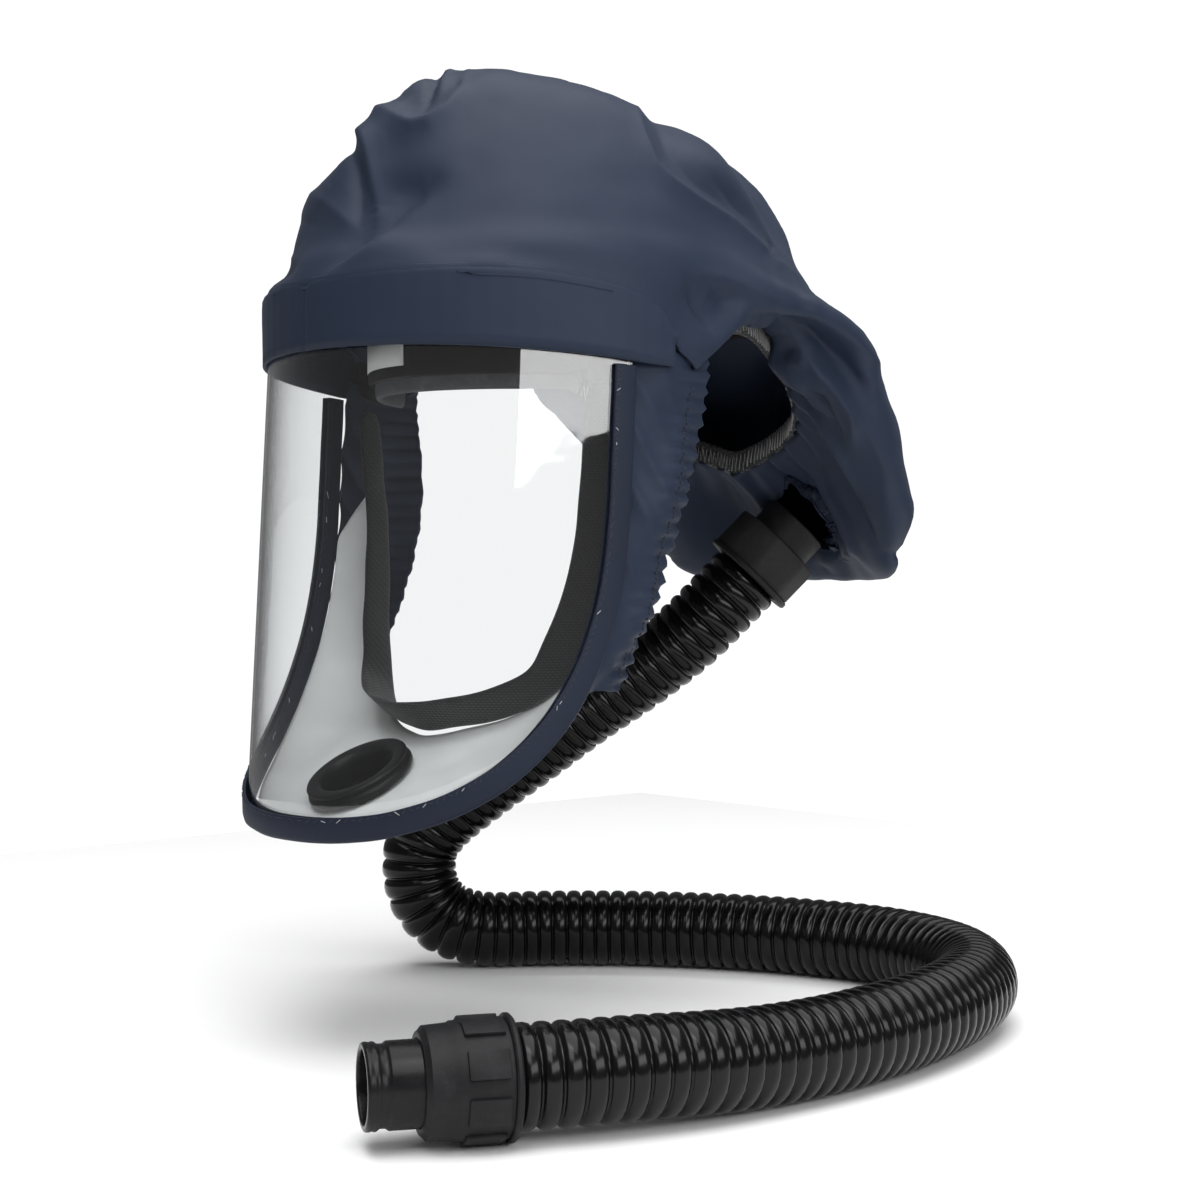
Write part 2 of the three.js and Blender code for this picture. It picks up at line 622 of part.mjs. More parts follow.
function faceSealGeometry() {
  const steps = 32;
  return sweepGeometry((i) => {
    const share = (2 * i) / steps - 1;
    const { p } = sealPlace(share);
    const next = sealPlace(Math.min(share + 0.02, 1)).p;
    const before = sealPlace(Math.max(share - 0.02, -1)).p;
    const tangent = V().subVectors(next, before).normalize();
    const inwards = V().subVectors(V(0, -20, -70), p).normalize();
    const flat = inwards.addScaledVector(tangent, -inwards.dot(tangent)).normalize();
    const spread = V().crossVectors(tangent, flat).normalize();
    const a = p.clone().addScaledVector(flat, seamGap);
    const width = sealWidth * (0.7 + 0.3 * Math.cos((share * Math.PI) / 2));
    return [[0, 0], [width, 0], [width, sealWall], [0, sealWall]].map(([w, h]) =>
      a.clone().addScaledVector(flat, h).addScaledVector(spread, w));
  }, steps);
}

function valveRingGeometry() {
  const { centre, axis } = valveSeat;
  const [outer, bore, groove] = [valveOuterDiameter / 2, valveBoreDiameter / 2, valveGrooveDiameter / 2];
  const half = liningWall / 2 + seamGap * 2.5;
  const high = valveHeight - valveBelow;
  const lip = half + valveLip;
  const profile = [
    [bore, -valveBelow], [outer - valveRound, -valveBelow], [outer, valveRound - valveBelow], [outer, -half],
    [groove, -half], [groove, half], [outer, half], [outer, lip],
    [outer - valveNotch, lip + valveNotch / 2], [outer - valveNotch, high - valveNotch],
    [outer - valveRound, high - valveRound], [outer - valveRound, high],
    [bore + valveRound, high], [bore, high - valveRound],
  ];
  return turned(profile, turnedSides, centre, axis);
}

function valveCoverGeometry() {
  const { centre, axis } = valveSeat;
  const rim = valveOuterDiameter / 2 + valveCoverLap;
  const top = -valveBelow - seamGap;
  const skirt = top - valveCoverWall * 2;
  const dome = top - valveCoverDepth;
  const bend = top - valveCoverDepth * 0.7;
  const profile = [
    [0, dome], [rim * 0.45, dome + 1], [rim * 0.8, bend], [rim, skirt], [rim, top], [rim - valveCoverWall, top],
    [rim - valveCoverWall, skirt], [rim * 0.75, bend + valveCoverWall],
    [rim * 0.4, dome + 1 + valveCoverWall], [0, dome + valveCoverWall],
  ];
  return turned(profile, turnedSides, centre, axis);
}

// A place round the head, by its turn from the front, standing off the headband's inner face.
function roundHead(turn, grow, z) {
  return V((bandHalfWidth + grow) * Math.sin(turn), -(bandHalfLength + grow) * Math.cos(turn), z);
}

// Headband round the head: it rises from the forehead into the hood at the sides and the back.
function headbandGeometry() {
  const steps = 40;
  return sweepGeometry((i) => {
    const turn = (2 * Math.PI * i) / steps;
    const low = bandBottom + bandRise * THREE.MathUtils.smoothstep(-Math.cos(turn), -0.6, 0.1);
    const high = low + bandHeight;
    const profile = [[0, low], [bandWall, low], [bandWall, high], [0, high]];
    return profile.map(([out, z]) => roundHead(turn, out, z));
  }, steps, true);
}

// Sweat pad inside the front of the headband, standing out below it.
function browPadGeometry() {
  const steps = 24;
  return sweepGeometry((i) => {
    const turn = rad(THREE.MathUtils.lerp(-padHalfAngle, padHalfAngle, i / steps));
    const [low, high] = [bandBottom - padHeight / 2, bandBottom + padHeight / 2];
    const [front, back] = [-seamGap, -seamGap - padWall];
    const profile = [[back, low + 1], [front - 1, low], [front, low + 2], [front, high], [back, high]];
    return profile.map(([out, z]) => roundHead(turn, out, z));
  }, steps);
}

// Tab that carries the headband's side from the inside of the brow band.
function templeTabGeometry(side) {
  const across = 4;
  const turn = Math.acos(tabShare);
  const from = roundHead(turn, bandWall + seamGap, 0);
  const reach = planReach(tabAzimuth) - (browWall + 1.7 * seamGap) / Math.sin(rad(tabAzimuth));
  const to = V(reach * Math.sin(rad(tabAzimuth)), crownAxisY - reach * Math.cos(rad(tabAzimuth)), 0);
  const place = (i, j) => {
    const p = from.clone().lerp(to, i / across);
    p.z = j === 0 ? tabTop : tabTop - tabHeight * (1 - tabTaper * (i / across) ** 2);
    p.x *= side;
    return p;
  };
  return sheetGeometry({ place, across, along: 1, wall: tabWall, inward: side });
}

function crownStrapGeometry() {
  const steps = 16;
  const rim = bandHalfWidth + bandWall / 2;
  const base = bandBottom + bandRise + bandHeight + seamGap;
  return sweepGeometry((i) => {
    const turn = Math.PI * (i / steps);
    const out = V(Math.cos(turn), 0, Math.sin(turn));
    const p = V(rim * Math.cos(turn), 0, base + crownStrapRise * Math.sin(turn));
    const corner = (y, n) => V(0, y * crownStrapWidth, 0).addScaledVector(out, n * crownStrapWall).add(p);
    return [corner(-0.5, -0.5), corner(0.5, -0.5), corner(0.5, 0.5), corner(-0.5, 0.5)];
  }, steps);
}

// Elastic that draws the hood's rear hem to the head, ending above the ears.
function rearElasticGeometry() {
  const steps = 34;
  return sweepGeometry((i) => {
    const azimuth = THREE.MathUtils.lerp(elasticFrom, 360 - elasticFrom, i / steps);
    const section = hoodSection(azimuth > 180 ? azimuth - 360 : azimuth);
    const out = V(Math.sin(rad(azimuth)), -Math.cos(rad(azimuth)), 0);
    const p = section[0].clone().addScaledVector(out, -gatherDepth * 0.35 - 2 * seamGap);
    const corner = (n, z) => V(0, 0, z * elasticWidth - 1).addScaledVector(out, -n * elasticWall).add(p);
    return [corner(1, -0.3), corner(0, -0.3), corner(0, 0.7), corner(1, 0.7)];
  }, steps);
}

// Breathing hose, plain here, and its connectors.
const hoseCurve = new THREE.CatmullRomCurve3(hoseRoute.map((p) => V(...p)), false, "centripetal");
const inletAxis = hoseCurve.getTangentAt(0).negate();
const inletFoot = hoseCurve.getPointAt(0);
const outletAxis = hoseCurve.getTangentAt(1);
const outletFoot = hoseCurve.getPointAt(1);

function hoseGeometry() {
  const shape = new THREE.Shape();
  for (let k = 0; k < hoseSides; k++) {
    const turn = (2 * Math.PI * k) / hoseSides;
    const [x, y] = [(hoseDiameter / 2) * Math.cos(turn), (hoseDiameter / 2) * Math.sin(turn)];
    if (k === 0) shape.moveTo(x, y);
    else shape.lineTo(x, y);
  }
  shape.closePath();
  return new THREE.ExtrudeGeometry(shape, { steps: hoseSteps, extrudePath: hoseCurve, curveSegments: 1 });
}

// A bored disc or cylinder, by its radii and its two heights.
function bored(inside, outside, from, to, sides, centre, axis) {
  return turned([[inside, from], [outside, from], [outside, to], [inside, to]], sides, centre, axis);
}

// A bored prism, by the distance across its flats.
function prism(flats, sides, from, to, bore, centre, axis) {
  const [corner, inside] = [flats, bore].map((width) => width / 2 / Math.cos(Math.PI / sides));
  return bored(inside, corner, from, to, sides, centre, axis);
}

function joined(...pieces) {
  return geometryOf(pieces.slice(1).reduce((solid, piece) => solid.add(solidOf(piece)), solidOf(pieces[0])));
}

function inletGeometry() {
  const bore = inletBore / 2;
  const nutStart = seamGap + inletFlangeLength;
  const nutEnd = nutStart + inletNutLength;
  const neckEnd = nutEnd + inletNeckLength;
  const place = [turnedSides, inletFoot, inletAxis];
  const round = (diameter, from, to) => bored(bore, diameter / 2, from, to, ...place);
  const flange = round(inletFlangeDiameter, seamGap, nutStart);
  const nut = prism(inletNutFlats, 8, nutStart - joinOverlap, nutEnd, inletBore, inletFoot, inletAxis);
  return joined(flange, nut, round(inletNeckDiameter, nutEnd - joinOverlap, neckEnd));
}

// The room that the hood's cloth leaves for the inlet's neck.
function inletClearance() {
  const r = inletNeckDiameter / 2 + seamGap;
  const from = inletNutLength * 0.6;
  const to = inletNutLength + inletNeckLength * 3;
  return turned([[0, from], [r, from], [r, to], [0, to]], turnedSides, inletFoot, inletAxis);
}

function endCollarGeometry() {
  const [bore, outer] = [spigotDiameter / 2 + seamGap, collarDiameter / 2];
  const [body, mouth] = [outer - collarInset, bore + collarMouth];
  const shoulder = collarLength - collarCone;
  const round = collarMouth / 2;
  const collar = turned([
    [bore, seamGap], [outer, seamGap], [outer, collarLip], [body, collarLip + collarInset / 2],
    [body, shoulder], [mouth + round, collarLength - round], [mouth, collarLength], [bore, collarLength],
  ], turnedSides, outletFoot, outletAxis);
  const gripStart = collarLip + joinOverlap;
  const grip = prism(collarDiameter - 1, gripFacets, gripStart, gripStart + gripLength, bore * 2,
    outletFoot, outletAxis);
  const limit = bored(bore, outer + joinOverlap, 0, shoulder, turnedSides, outletFoot, outletAxis);
  return geometryOf(solidOf(collar).add(solidOf(grip).intersect(solidOf(limit))));
}

function spigotGeometry() {
  const [outer, bore] = [spigotDiameter / 2, spigotBore / 2];
  const end = collarLength + spigotLength;
  const [low, high] = [end - grooveFrom, end - grooveTo];
  return turned([
    [bore, seamGap], [outer, seamGap], [outer, low], [outer - grooveDepth, low + grooveDepth],
    [outer - grooveDepth, high - grooveDepth], [outer, high], [outer, end - 1], [outer - 1, end], [bore, end],
  ], turnedSides, outletFoot, outletAxis);
}

const part = new THREE.Group();
part.name = "respirator_hood";

const finishes = {
  cloth: { color: 0x2b3a55, roughness: 0.62, metalness: 0 },
  lining: { color: 0xe8e9ea, roughness: 0.7, metalness: 0 },
  clear: { color: 0xe9f1f4, roughness: 0.06, metalness: 0 },
  rubber: { color: 0x1b1b1d, roughness: 0.5, metalness: 0 },
  knit: { color: 0x141416, roughness: 0.9, metalness: 0 },
  hose: { color: 0x101012, roughness: 0.25, metalness: 0 },
  plastic: { color: 0x242427, roughness: 0.45, metalness: 0 },
};

function addPiece(name, geometry, finish) {
  const mesh = new THREE.Mesh(geometry, new THREE.MeshStandardMaterial(finishes[finish]));
  mesh.name = name;
  part.add(mesh);
}

addPiece("hood_shell", cut(hoodGeometry(), inletClearance()), "cloth");
addPiece("brow_band", browBandGeometry(), "cloth");
addPiece("visor", visorGeometry(), "clear");
addPiece("visor_binding", bindingGeometry(), "cloth");
for (const [label, side] of [["left", 1], ["right", -1]]) {
  addPiece(`side_panel_${label}`, sidePanelGeometry(side), "cloth");
  addPiece(`temple_tab_${label}`, templeTabGeometry(side), "plastic");
}
addPiece("chin_lining", chinLiningGeometry(), "lining");
addPiece("face_seal", faceSealGeometry(), "knit");
addPiece("valve_ring", valveRingGeometry(), "rubber");
addPiece("valve_cover", valveCoverGeometry(), "rubber");
addPiece("headband", headbandGeometry(), "plastic");
addPiece("brow_pad", browPadGeometry(), "knit");
addPiece("crown_strap", crownStrapGeometry(), "plastic");
addPiece("rear_elastic", rearElasticGeometry(), "knit");
addPiece("inlet_connector", inletGeometry(), "plastic");
addPiece("breathing_hose", hoseGeometry(), "hose");
addPiece("end_collar", endCollarGeometry(), "plastic");
addPiece("end_spigot", spigotGeometry(), "plastic");

export default part;
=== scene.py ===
"""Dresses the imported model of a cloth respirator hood: cloth, visor, harness, valve, connectors and hose."""

import logging
import math
import random
from dataclasses import dataclass, field
from enum import Enum
from functools import cached_property
from typing import Callable, Iterable, Sequence

import bmesh
import bpy
from mathutils import Matrix, Vector, kdtree, noise
from mathutils.bvhtree import BVHTree


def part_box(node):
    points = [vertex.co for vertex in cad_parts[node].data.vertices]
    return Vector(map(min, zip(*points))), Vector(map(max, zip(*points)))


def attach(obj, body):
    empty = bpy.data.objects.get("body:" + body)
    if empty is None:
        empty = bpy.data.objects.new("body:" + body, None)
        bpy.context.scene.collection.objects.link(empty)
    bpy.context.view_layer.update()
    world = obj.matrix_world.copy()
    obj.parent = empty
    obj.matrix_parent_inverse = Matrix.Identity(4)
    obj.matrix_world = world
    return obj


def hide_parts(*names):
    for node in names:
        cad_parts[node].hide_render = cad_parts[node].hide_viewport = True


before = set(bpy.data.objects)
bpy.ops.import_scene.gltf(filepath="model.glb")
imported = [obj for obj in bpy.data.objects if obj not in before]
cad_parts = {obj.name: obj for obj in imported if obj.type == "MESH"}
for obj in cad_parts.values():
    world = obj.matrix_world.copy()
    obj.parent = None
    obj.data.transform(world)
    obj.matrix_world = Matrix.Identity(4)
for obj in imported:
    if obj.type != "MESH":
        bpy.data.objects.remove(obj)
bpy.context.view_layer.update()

log = logging.getLogger("respirator_hood")

Points = Sequence[tuple[float, float, float]]
MM = 0.001
BROW_CENTRE_Y = -0.040
# Degrees round from the middle over which the brow changes from turned in, on the wearer's right, to flush.
FLUSH_FROM = (-22.0, -8.0)
# A wave texture has this many bands to the metre at scale 1.
WAVE_BANDS = 3.183


# Small sums


def smoothstep(low: float, high: float, x: float) -> float:
    """Rises smoothly from 0 at low to 1 at high, or falls where high is the smaller."""
    t = min(max((x - low) / (high - low), 0.0), 1.0)
    return t * t * (3 - 2 * t)


def lerp(a: float, b: float, t: float) -> float:
    """The number a share t of the way from a to b."""
    return a + (b - a) * t


def azimuth_of(p: Vector, centre_y: float = 0.0) -> float:
    """Degrees round from straight ahead, towards the wearer's left, at which a place lies."""
    return math.degrees(math.atan2(p.x, centre_y - p.y))


def seat(foot: Vector, axis: Vector) -> Matrix:
    """Places a shape made about +Z at foot, pointing along axis."""
    turn = Vector((0, 0, 1)).rotation_difference(axis.normalized())
    return Matrix.Translation(foot) @ turn.to_matrix().to_4x4()


# Materials


def math_method(operation: str, swapped: bool = False) -> Callable[["Value", "Value | float"], "Value"]:
    """The method by which a Value takes part in one kind of sum, as a Math node."""

    def method(self: "Value", other: "Value | float") -> "Value":
        """The Math node's result."""
        first, second = (other, self) if swapped else (self, other)
        made = self.graph.node(
            "ShaderNodeMath", {"operation": operation}, {"Value": first, "Value_001": second}
        )
        return Value(self.graph, made.outputs[0])

    return method


@dataclass(frozen=True)
class Value:
    """A number that changes over a surface: an output socket that takes part in sums."""

    graph: "Graph"
    socket: bpy.types.NodeSocket

    __add__ = math_method("ADD")
    __radd__ = math_method("ADD", True)
    __sub__ = math_method("SUBTRACT")
    __rsub__ = math_method("SUBTRACT", True)
    __mul__ = math_method("MULTIPLY")
    __rmul__ = math_method("MULTIPLY", True)
    __pow__ = math_method("POWER")

    def above(self, low: float, high: float) -> "Value":
        """0 below low, 1 above high, and a straight rise between them."""
        made = self.graph.node(
            "ShaderNodeMapRange", {"clamp": True},
            {"Value": self, "From Min": low, "From Max": high},
        )
        return Value(self.graph, made.outputs[0])


class Graph:
    """A material's node tree, built up call by call."""

    def __init__(self, name: str) -> None:
        """Starts an empty material of that name."""
        self.material = bpy.data.materials.new(name)
        self.material.use_nodes = True
        self.tree = self.material.node_tree
        self.tree.nodes.clear()

    def node(self, kind: str, settings: dict | None = None, inputs: dict | None = None) -> bpy.types.Node:
        """Adds a node.

        Args:
            kind: The node's type.
            settings: Its properties, set first.
            inputs: Its sockets by identifier or name, each a constant, a Value or a socket.

        Returns:
            The node.
        """
        made = self.tree.nodes.new(kind)
        for name, value in (settings or {}).items():
            setattr(made, name, value)
        for name, value in (inputs or {}).items():
            socket = next((s for s in made.inputs if s.identifier == name), None) or made.inputs[name]
            if isinstance(value, Value):
                value = value.socket
            if isinstance(value, bpy.types.NodeSocket):
                self.tree.links.new(value, socket)
            else:
                socket.default_value = value
        return made

    def spot(self) -> bpy.types.NodeSocket:
        """The object's own coordinates."""
        return self.node("ShaderNodeTexCoord").outputs["Object"]

    def cloud(self, scale: float, detail: float, rough: float) -> Value:
        """Noise from 0 to 1.

        Args:
            scale: Lumps to the metre.
            detail: Octaves.
            rough: How strong the finer octaves are.

        Returns:
            The noise's value.
        """
        made = self.node(
            "ShaderNodeTexNoise", None,
            {"Vector": self.spot(), "Scale": scale, "Detail": detail, "Roughness": rough},
        )
        return Value(self, made.outputs["Fac"])

    def ribs(self, pitch: float, direction: str) -> Value:
        """Rounded ribs of that pitch in metres, across the named axis."""
        made = self.node(
            "ShaderNodeTexWave", {"bands_direction": direction},
            {"Vector": self.spot(), "Scale": 1 / pitch / WAVE_BANDS, "Distortion": 0.0},
        )
        return Value(self, made.outputs["Fac"])

    def blend(self, first: object, second: object, share: Value) -> bpy.types.NodeSocket:
        """A colour a share of the way from first to second."""
        made = self.node(
            "ShaderNodeMix", {"data_type": "RGBA"},
            {"Factor_Float": share, "A_Color": first, "B_Color": second},
        )
        return next(s for s in made.outputs if s.identifier == "Result_Color")

    def relief(self, height: Value, depth: float, strength: float = 1.0,
               under: bpy.types.NodeSocket | None = None) -> bpy.types.NodeSocket:
        """Bump normal.

        Args:
            height: The relief, from 0 to 1.
            depth: Its depth in metres.
            strength: Its strength.
            under: The normal that it is laid on.

        Returns:
            The normal.
        """
        inputs = {"Height": height, "Distance": depth, "Strength": strength}
        if under is not None:
            inputs["Normal"] = under
        return self.node("ShaderNodeBump", None, inputs).outputs[0]

    def close(self, shader: bpy.types.NodeSocket) -> bpy.types.Material:
        """Joins the shader to the output and returns the material."""
        self.node("ShaderNodeOutputMaterial", None, {"Surface": shader})
        return self.material

    def dressed(self, colour: object, roughness: object, normal: bpy.types.NodeSocket | None = None,
                **constants: object) -> bpy.types.Material:
        """A material with one Principled shader.

        Args:
            colour: Base colour, a constant or a socket.
            roughness: A constant or a Value.
            normal: The bump normal, if any.
            constants: The shader's other sockets, with _ for each space.

        Returns:
            The material.
        """
        inputs = {"Base Color": colour, "Roughness": roughness}
        if normal is not None:
            inputs["Normal"] = normal
        inputs |= {name.replace("_", " "): value for name, value in constants.items()}
        return self.close(self.node("ShaderNodeBsdfPrincipled", None, inputs).outputs[0])


def shade(red: float, green: float, blue: float, factor: float = 1.0) -> tuple[float, float, float, float]:
    """A colour, made lighter or darker by a factor."""
    return (red * factor, green * factor, blue * factor, 1.0)


@dataclass(frozen=True)
class CoatedCloth:
    """Navy coated cloth with a soft sheen, a fine grain and slightly rubbed, lighter patches."""

    name: str = "navy_coated_cloth"
    colour: tuple[float, float, float] = (0.0185, 0.0265, 0.048)
    grain: float = 0.00005
    crumple: float = 0.0006

    def material(self) -> bpy.types.Material:
        """The cloth's material."""
        g = Graph(self.name)
        weave = g.cloud(1500, 2, 0.6)
        folds = g.cloud(38, 3, 0.55)
        patches = g.cloud(9, 3, 0.5)
        worn = g.cloud(260, 4, 0.7)
        base = g.blend(shade(*self.colour, 0.9), shade(*self.colour, 1.1), patches.above(0.3, 0.7))
        base = g.blend(base, shade(*self.colour, 1.35), worn.above(0.62, 0.82) * 0.35)
        rough = 0.46 + 0.1 * folds + 0.06 * weave
        normal = g.relief(folds, self.crumple, 0.35)
        normal = g.relief(weave, self.grain, 0.5, normal)
        return g.dressed(
            base, rough, normal, Sheen_Weight=0.03, Sheen_Roughness=0.4,
            Sheen_Tint=(0.6, 0.72, 1.0, 1.0), Specular_IOR_Level=0.16,
        )


@dataclass(frozen=True)
class LiningCloth:
    """Pale grey-white coated lining with soft crumples, its colour painted darker in the crumples' hollows and
    lighter on their tops: painted shade.
    """

    name: str = "pale_lining_cloth"
    colour: tuple[float, float, float] = (0.84, 0.85, 0.84)

    def material(self) -> bpy.types.Material:
        """The lining's material."""
        g = Graph(self.name)
        weave = g.cloud(1300, 2, 0.6)
        folds = g.cloud(30, 3, 0.5)
        # Painted shade: the crumples' relief noise also darkens the colour in their hollows and lightens it on
        # their tops.
        base = g.blend(shade(*self.colour, 0.92), shade(*self.colour, 1.06), folds.above(0.35, 0.65))
        normal = g.relief(weave, 0.00004, 0.4, g.relief(folds, 0.001, 0.6))
        return g.dressed(base, 0.45 + 0.12 * weave, normal, Sheen_Weight=0.08)


@dataclass(frozen=True)
class ClearSheet:
    """Clear glossy visor sheet with a faint wave, so that a light's reflection breaks up."""

    name: str = "clear_visor_sheet"
    gloss: float = 1.35
    straight_on: float = 0.04

    def material(self) -> bpy.types.Material:
        """The visor's material: see-through, with reflections that grow towards its edges."""
        g = Graph(self.name)
        wave = g.cloud(30, 2, 0.6)
        normal = g.relief(wave, 0.0006, 0.4)
        edge = g.node("ShaderNodeLayerWeight", None, {"Blend": 0.5})
        clear = g.node("ShaderNodeBsdfTransparent", None, {"Color": (0.965, 0.972, 0.975, 1)})
        gloss = g.node(
            "ShaderNodeBsdfPrincipled", None,
            {"Base Color": (1, 1, 1, 1), "Metallic": 1.0, "Roughness": 0.03, "Normal": normal},
        )
        slant = Value(g, edge.outputs["Facing"])
        share = self.gloss * (self.straight_on + (1 - self.straight_on) * slant ** 5)
        mixed = g.node("ShaderNodeMixShader", None, {"Fac": share})
        g.tree.links.new(clear.outputs[0], mixed.inputs[1])
        g.tree.links.new(gloss.outputs[0], mixed.inputs[2])
        return g.close(mixed.outputs[0])


@dataclass(frozen=True)
class Knit:
    """Black matt knit or webbing with fine ribs, painted lighter on its raised loops and fluff and darker
    between them: painted highlight and painted shade.
    """

    name: str = "black_knit"
    colour: tuple[float, float, float] = (0.0062, 0.006, 0.0065)
    pitch: float = 0.0011

    def material(self) -> bpy.types.Material:
        """The knit's material."""
        g = Graph(self.name)
        loops = g.ribs(self.pitch, "Z") * g.ribs(self.pitch * 1.2, "DIAGONAL")
        fluff = g.cloud(700, 3, 0.7)
        # Painted highlight and shade: colour follows the loops' and fluff's bump height, lighter on crests and
        # darker in the grooves.
        base = g.blend(shade(*self.colour, 0.7), shade(*self.colour, 2.2), fluff * loops)
        normal = g.relief(loops, 0.00025, 0.8, g.relief(fluff, 0.0002, 0.5))
        return g.dressed(base, 0.88, normal, Sheen_Weight=0.2, Sheen_Roughness=0.6, Specular_IOR_Level=0.3)


@dataclass(frozen=True)
class Moulded:
    """Moulded rubber or plastic with a fine grain, and scuffs and dust in random patches."""

    name: str
    colour: tuple[float, float, float]
    roughness: float
    grain: float = 0.00006
    grain_scale: float = 900
    scuff: float = 1.6
    coat: float = 0.0
    shine: float = 0.18

    def material(self) -> bpy.types.Material:
        """The moulding's material."""
        g = Graph(self.name)
        grain = g.cloud(self.grain_scale, 3, 0.65)
        marks = g.cloud(140, 4, 0.7)
        base = g.blend(shade(*self.colour), shade(*self.colour, self.scuff), marks.above(0.5, 0.8))
        rough = self.roughness + 0.12 * marks + 0.05 * grain
        normal = g.relief(grain, self.grain, 0.7)
        return g.dressed(base, rough, normal, Coat_Weight=self.coat, Coat_Roughness=0.12,
                         Specular_IOR_Level=self.shine)


@dataclass(frozen=True)
class Thread:
    """Twisted sewing thread, painted lighter on its raised twists and darker between them: painted shade."""

    name: str
    colour: tuple[float, float, float]

    def material(self) -> bpy.types.Material:
        """The thread's material."""
        g = Graph(self.name)
        twist = g.cloud(1800, 2, 0.5)
        # Painted shade: colour follows the twist's bump height, lighter on raised strands and darker between
        # them.
        base = g.blend(shade(*self.colour, 0.75), shade(*self.colour, 1.1), twist)
        return g.dressed(base, 0.7, g.relief(twist, 0.0001, 0.5), Sheen_Weight=0.15)


class Looks:
    """Every finish of the hood, each made into a material once."""

    def __init__(self) -> None:
        """Makes the materials."""
        self.cloth = CoatedCloth().material()
        self.binding = CoatedCloth("navy_binding_tape", (0.0135, 0.018, 0.033), 0.00007, 0.0003).material()
        self.lining = LiningCloth().material()
        self.clear = ClearSheet().material()
        self.knit = Knit().material()
        self.foam = Moulded("grey_foam", (0.09, 0.09, 0.095), 0.85, 0.0004, 420).material()
        self.rubber = Moulded("black_valve_rubber", (0.006, 0.006, 0.0065), 0.3, 0.00004, 800, 1.8).material()
        self.band = Moulded("brown_black_band", (0.009, 0.0065, 0.006), 0.36, 0.00004, 600).material()
        self.tab = Moulded("temple_plastic", (0.022, 0.018, 0.017), 0.42, 0.00005, 600).material()
        self.hose = Moulded(
            "glossy_hose_plastic", (0.0024, 0.0024, 0.0026), 0.12, 0.00002, 300, 1.5, 0.08, 0.2
        ).material()
        self.connector = Moulded(
            "grained_connector", (0.0085, 0.0085, 0.0095), 0.4, 0.00012, 1100, 1.9
        ).material()
        self.nut = Moulded("grained_nut", (0.016, 0.0155, 0.0165), 0.5, 0.00012, 1100, 1.6).material()
        self.spigot = Moulded("satin_spigot", (0.0065, 0.0065, 0.0072), 0.2, 0.00008, 420, 1.5).material()
        self.label = Moulded("blank_label", (0.62, 0.62, 0.6), 0.5, 0.00003, 500, 1.05).material()
        self.white_thread = Thread("pale_thread", (0.5, 0.5, 0.5)).material()
        self.grey_thread = Thread("grey_thread", (0.26, 0.26, 0.26)).material()
        self.dark_thread = Thread("navy_thread", (0.012, 0.015, 0.026)).material()
        self.black_thread = Thread("black_thread", (0.004, 0.004, 0.005)).material()


# Mesh making


def linked(name: str, data: bpy.types.ID) -> bpy.types.Object:
    """A new object of that data, in the scene."""
    made = bpy.data.objects.new(name, data)
    bpy.context.scene.collection.objects.link(made)
    return made


def put(bm: bmesh.types.BMesh, name: str, looks: Sequence[bpy.types.Material], nodes: Iterable[str] = (),
        crisp: float = 180) -> bpy.types.Object:
    """Makes a bmesh a finished piece that rides on the model.

    Args:
        bm: The shape, in the model's own frame. It is freed.
        name: The piece's name.
        looks: Its materials, in the order of its faces' material numbers.
        nodes: The CAD nodes that it stands for.
        crisp: Edges that turn by more than these degrees stay sharp.

    Returns:
        The object.
    """
    mesh = bpy.data.meshes.new(name)
    bm.to_mesh(mesh)
    bm.free()
    mesh.polygons.foreach_set("use_smooth", [True] * len(mesh.polygons))
    if crisp < 180:
        mesh.set_sharp_from_angle(angle=math.radians(crisp))
    made = linked(name, mesh)
    for look in looks:
        mesh.materials.append(look)
    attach(made, "root")
    if nodes:
        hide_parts(*nodes)
    log.info("%s: %d faces", name, len(mesh.polygons))
    return made


def turned(profile: Sequence[tuple[float, float]], steps: int, at: Matrix) -> bmesh.types.BMesh:
    """Spins a closed profile of (radius, height) about +Z.

    Args:
        profile: Its points in order. Points of radius 0 meet on the axis.
        steps: Sides of the turned shape.
        at: Where the shape goes.

    Returns:
        The closed shape.
    """
    bm = bmesh.new()
    verts = [bm.verts.new((r, 0, h)) for r, h in profile]
    edges = [bm.edges.new(pair) for pair in zip(verts, verts[1:] + verts[:1])]
    bmesh.ops.spin(bm, geom=verts + edges, cent=(0, 0, 0), axis=(0, 0, 1), angle=math.tau,
                   steps=steps, use_merge=True)
    bmesh.ops.remove_doubles(bm, verts=bm.verts, dist=1e-6)
    bmesh.ops.dissolve_degenerate(bm, edges=bm.edges, dist=1e-7)
    bmesh.ops.recalc_face_normals(bm, faces=bm.faces)
    bmesh.ops.transform(bm, matrix=at, verts=bm.verts)
    return bm


def swept(rings: Sequence[Sequence[Vector]]) -> bmesh.types.BMesh:
    """A closed shape made by extruding a ring of points through its later places."""
    bm = bmesh.new()
    verts = [bm.verts.new(p) for p in rings[0]]
    first = verts
    edges = [bm.edges.new(pair) for pair in zip(verts, verts[1:] + verts[:1])]
    for ring in rings[1:]:
        fresh = set(verts_in(bmesh.ops.extrude_edge_only(bm, edges=edges)["geom"]))
        verts = [next(e.other_vert(v) for e in v.link_edges if e.other_vert(v) in fresh) for v in verts]
        for vert, p in zip(verts, ring):
            vert.co = p
        edges = [bm.edges.get(pair) for pair in zip(verts, verts[1:] + verts[:1])]
    bmesh.ops.contextual_create(bm, geom=first)
    bmesh.ops.contextual_create(bm, geom=verts)
    bmesh.ops.recalc_face_normals(bm, faces=bm.faces)
    return bm


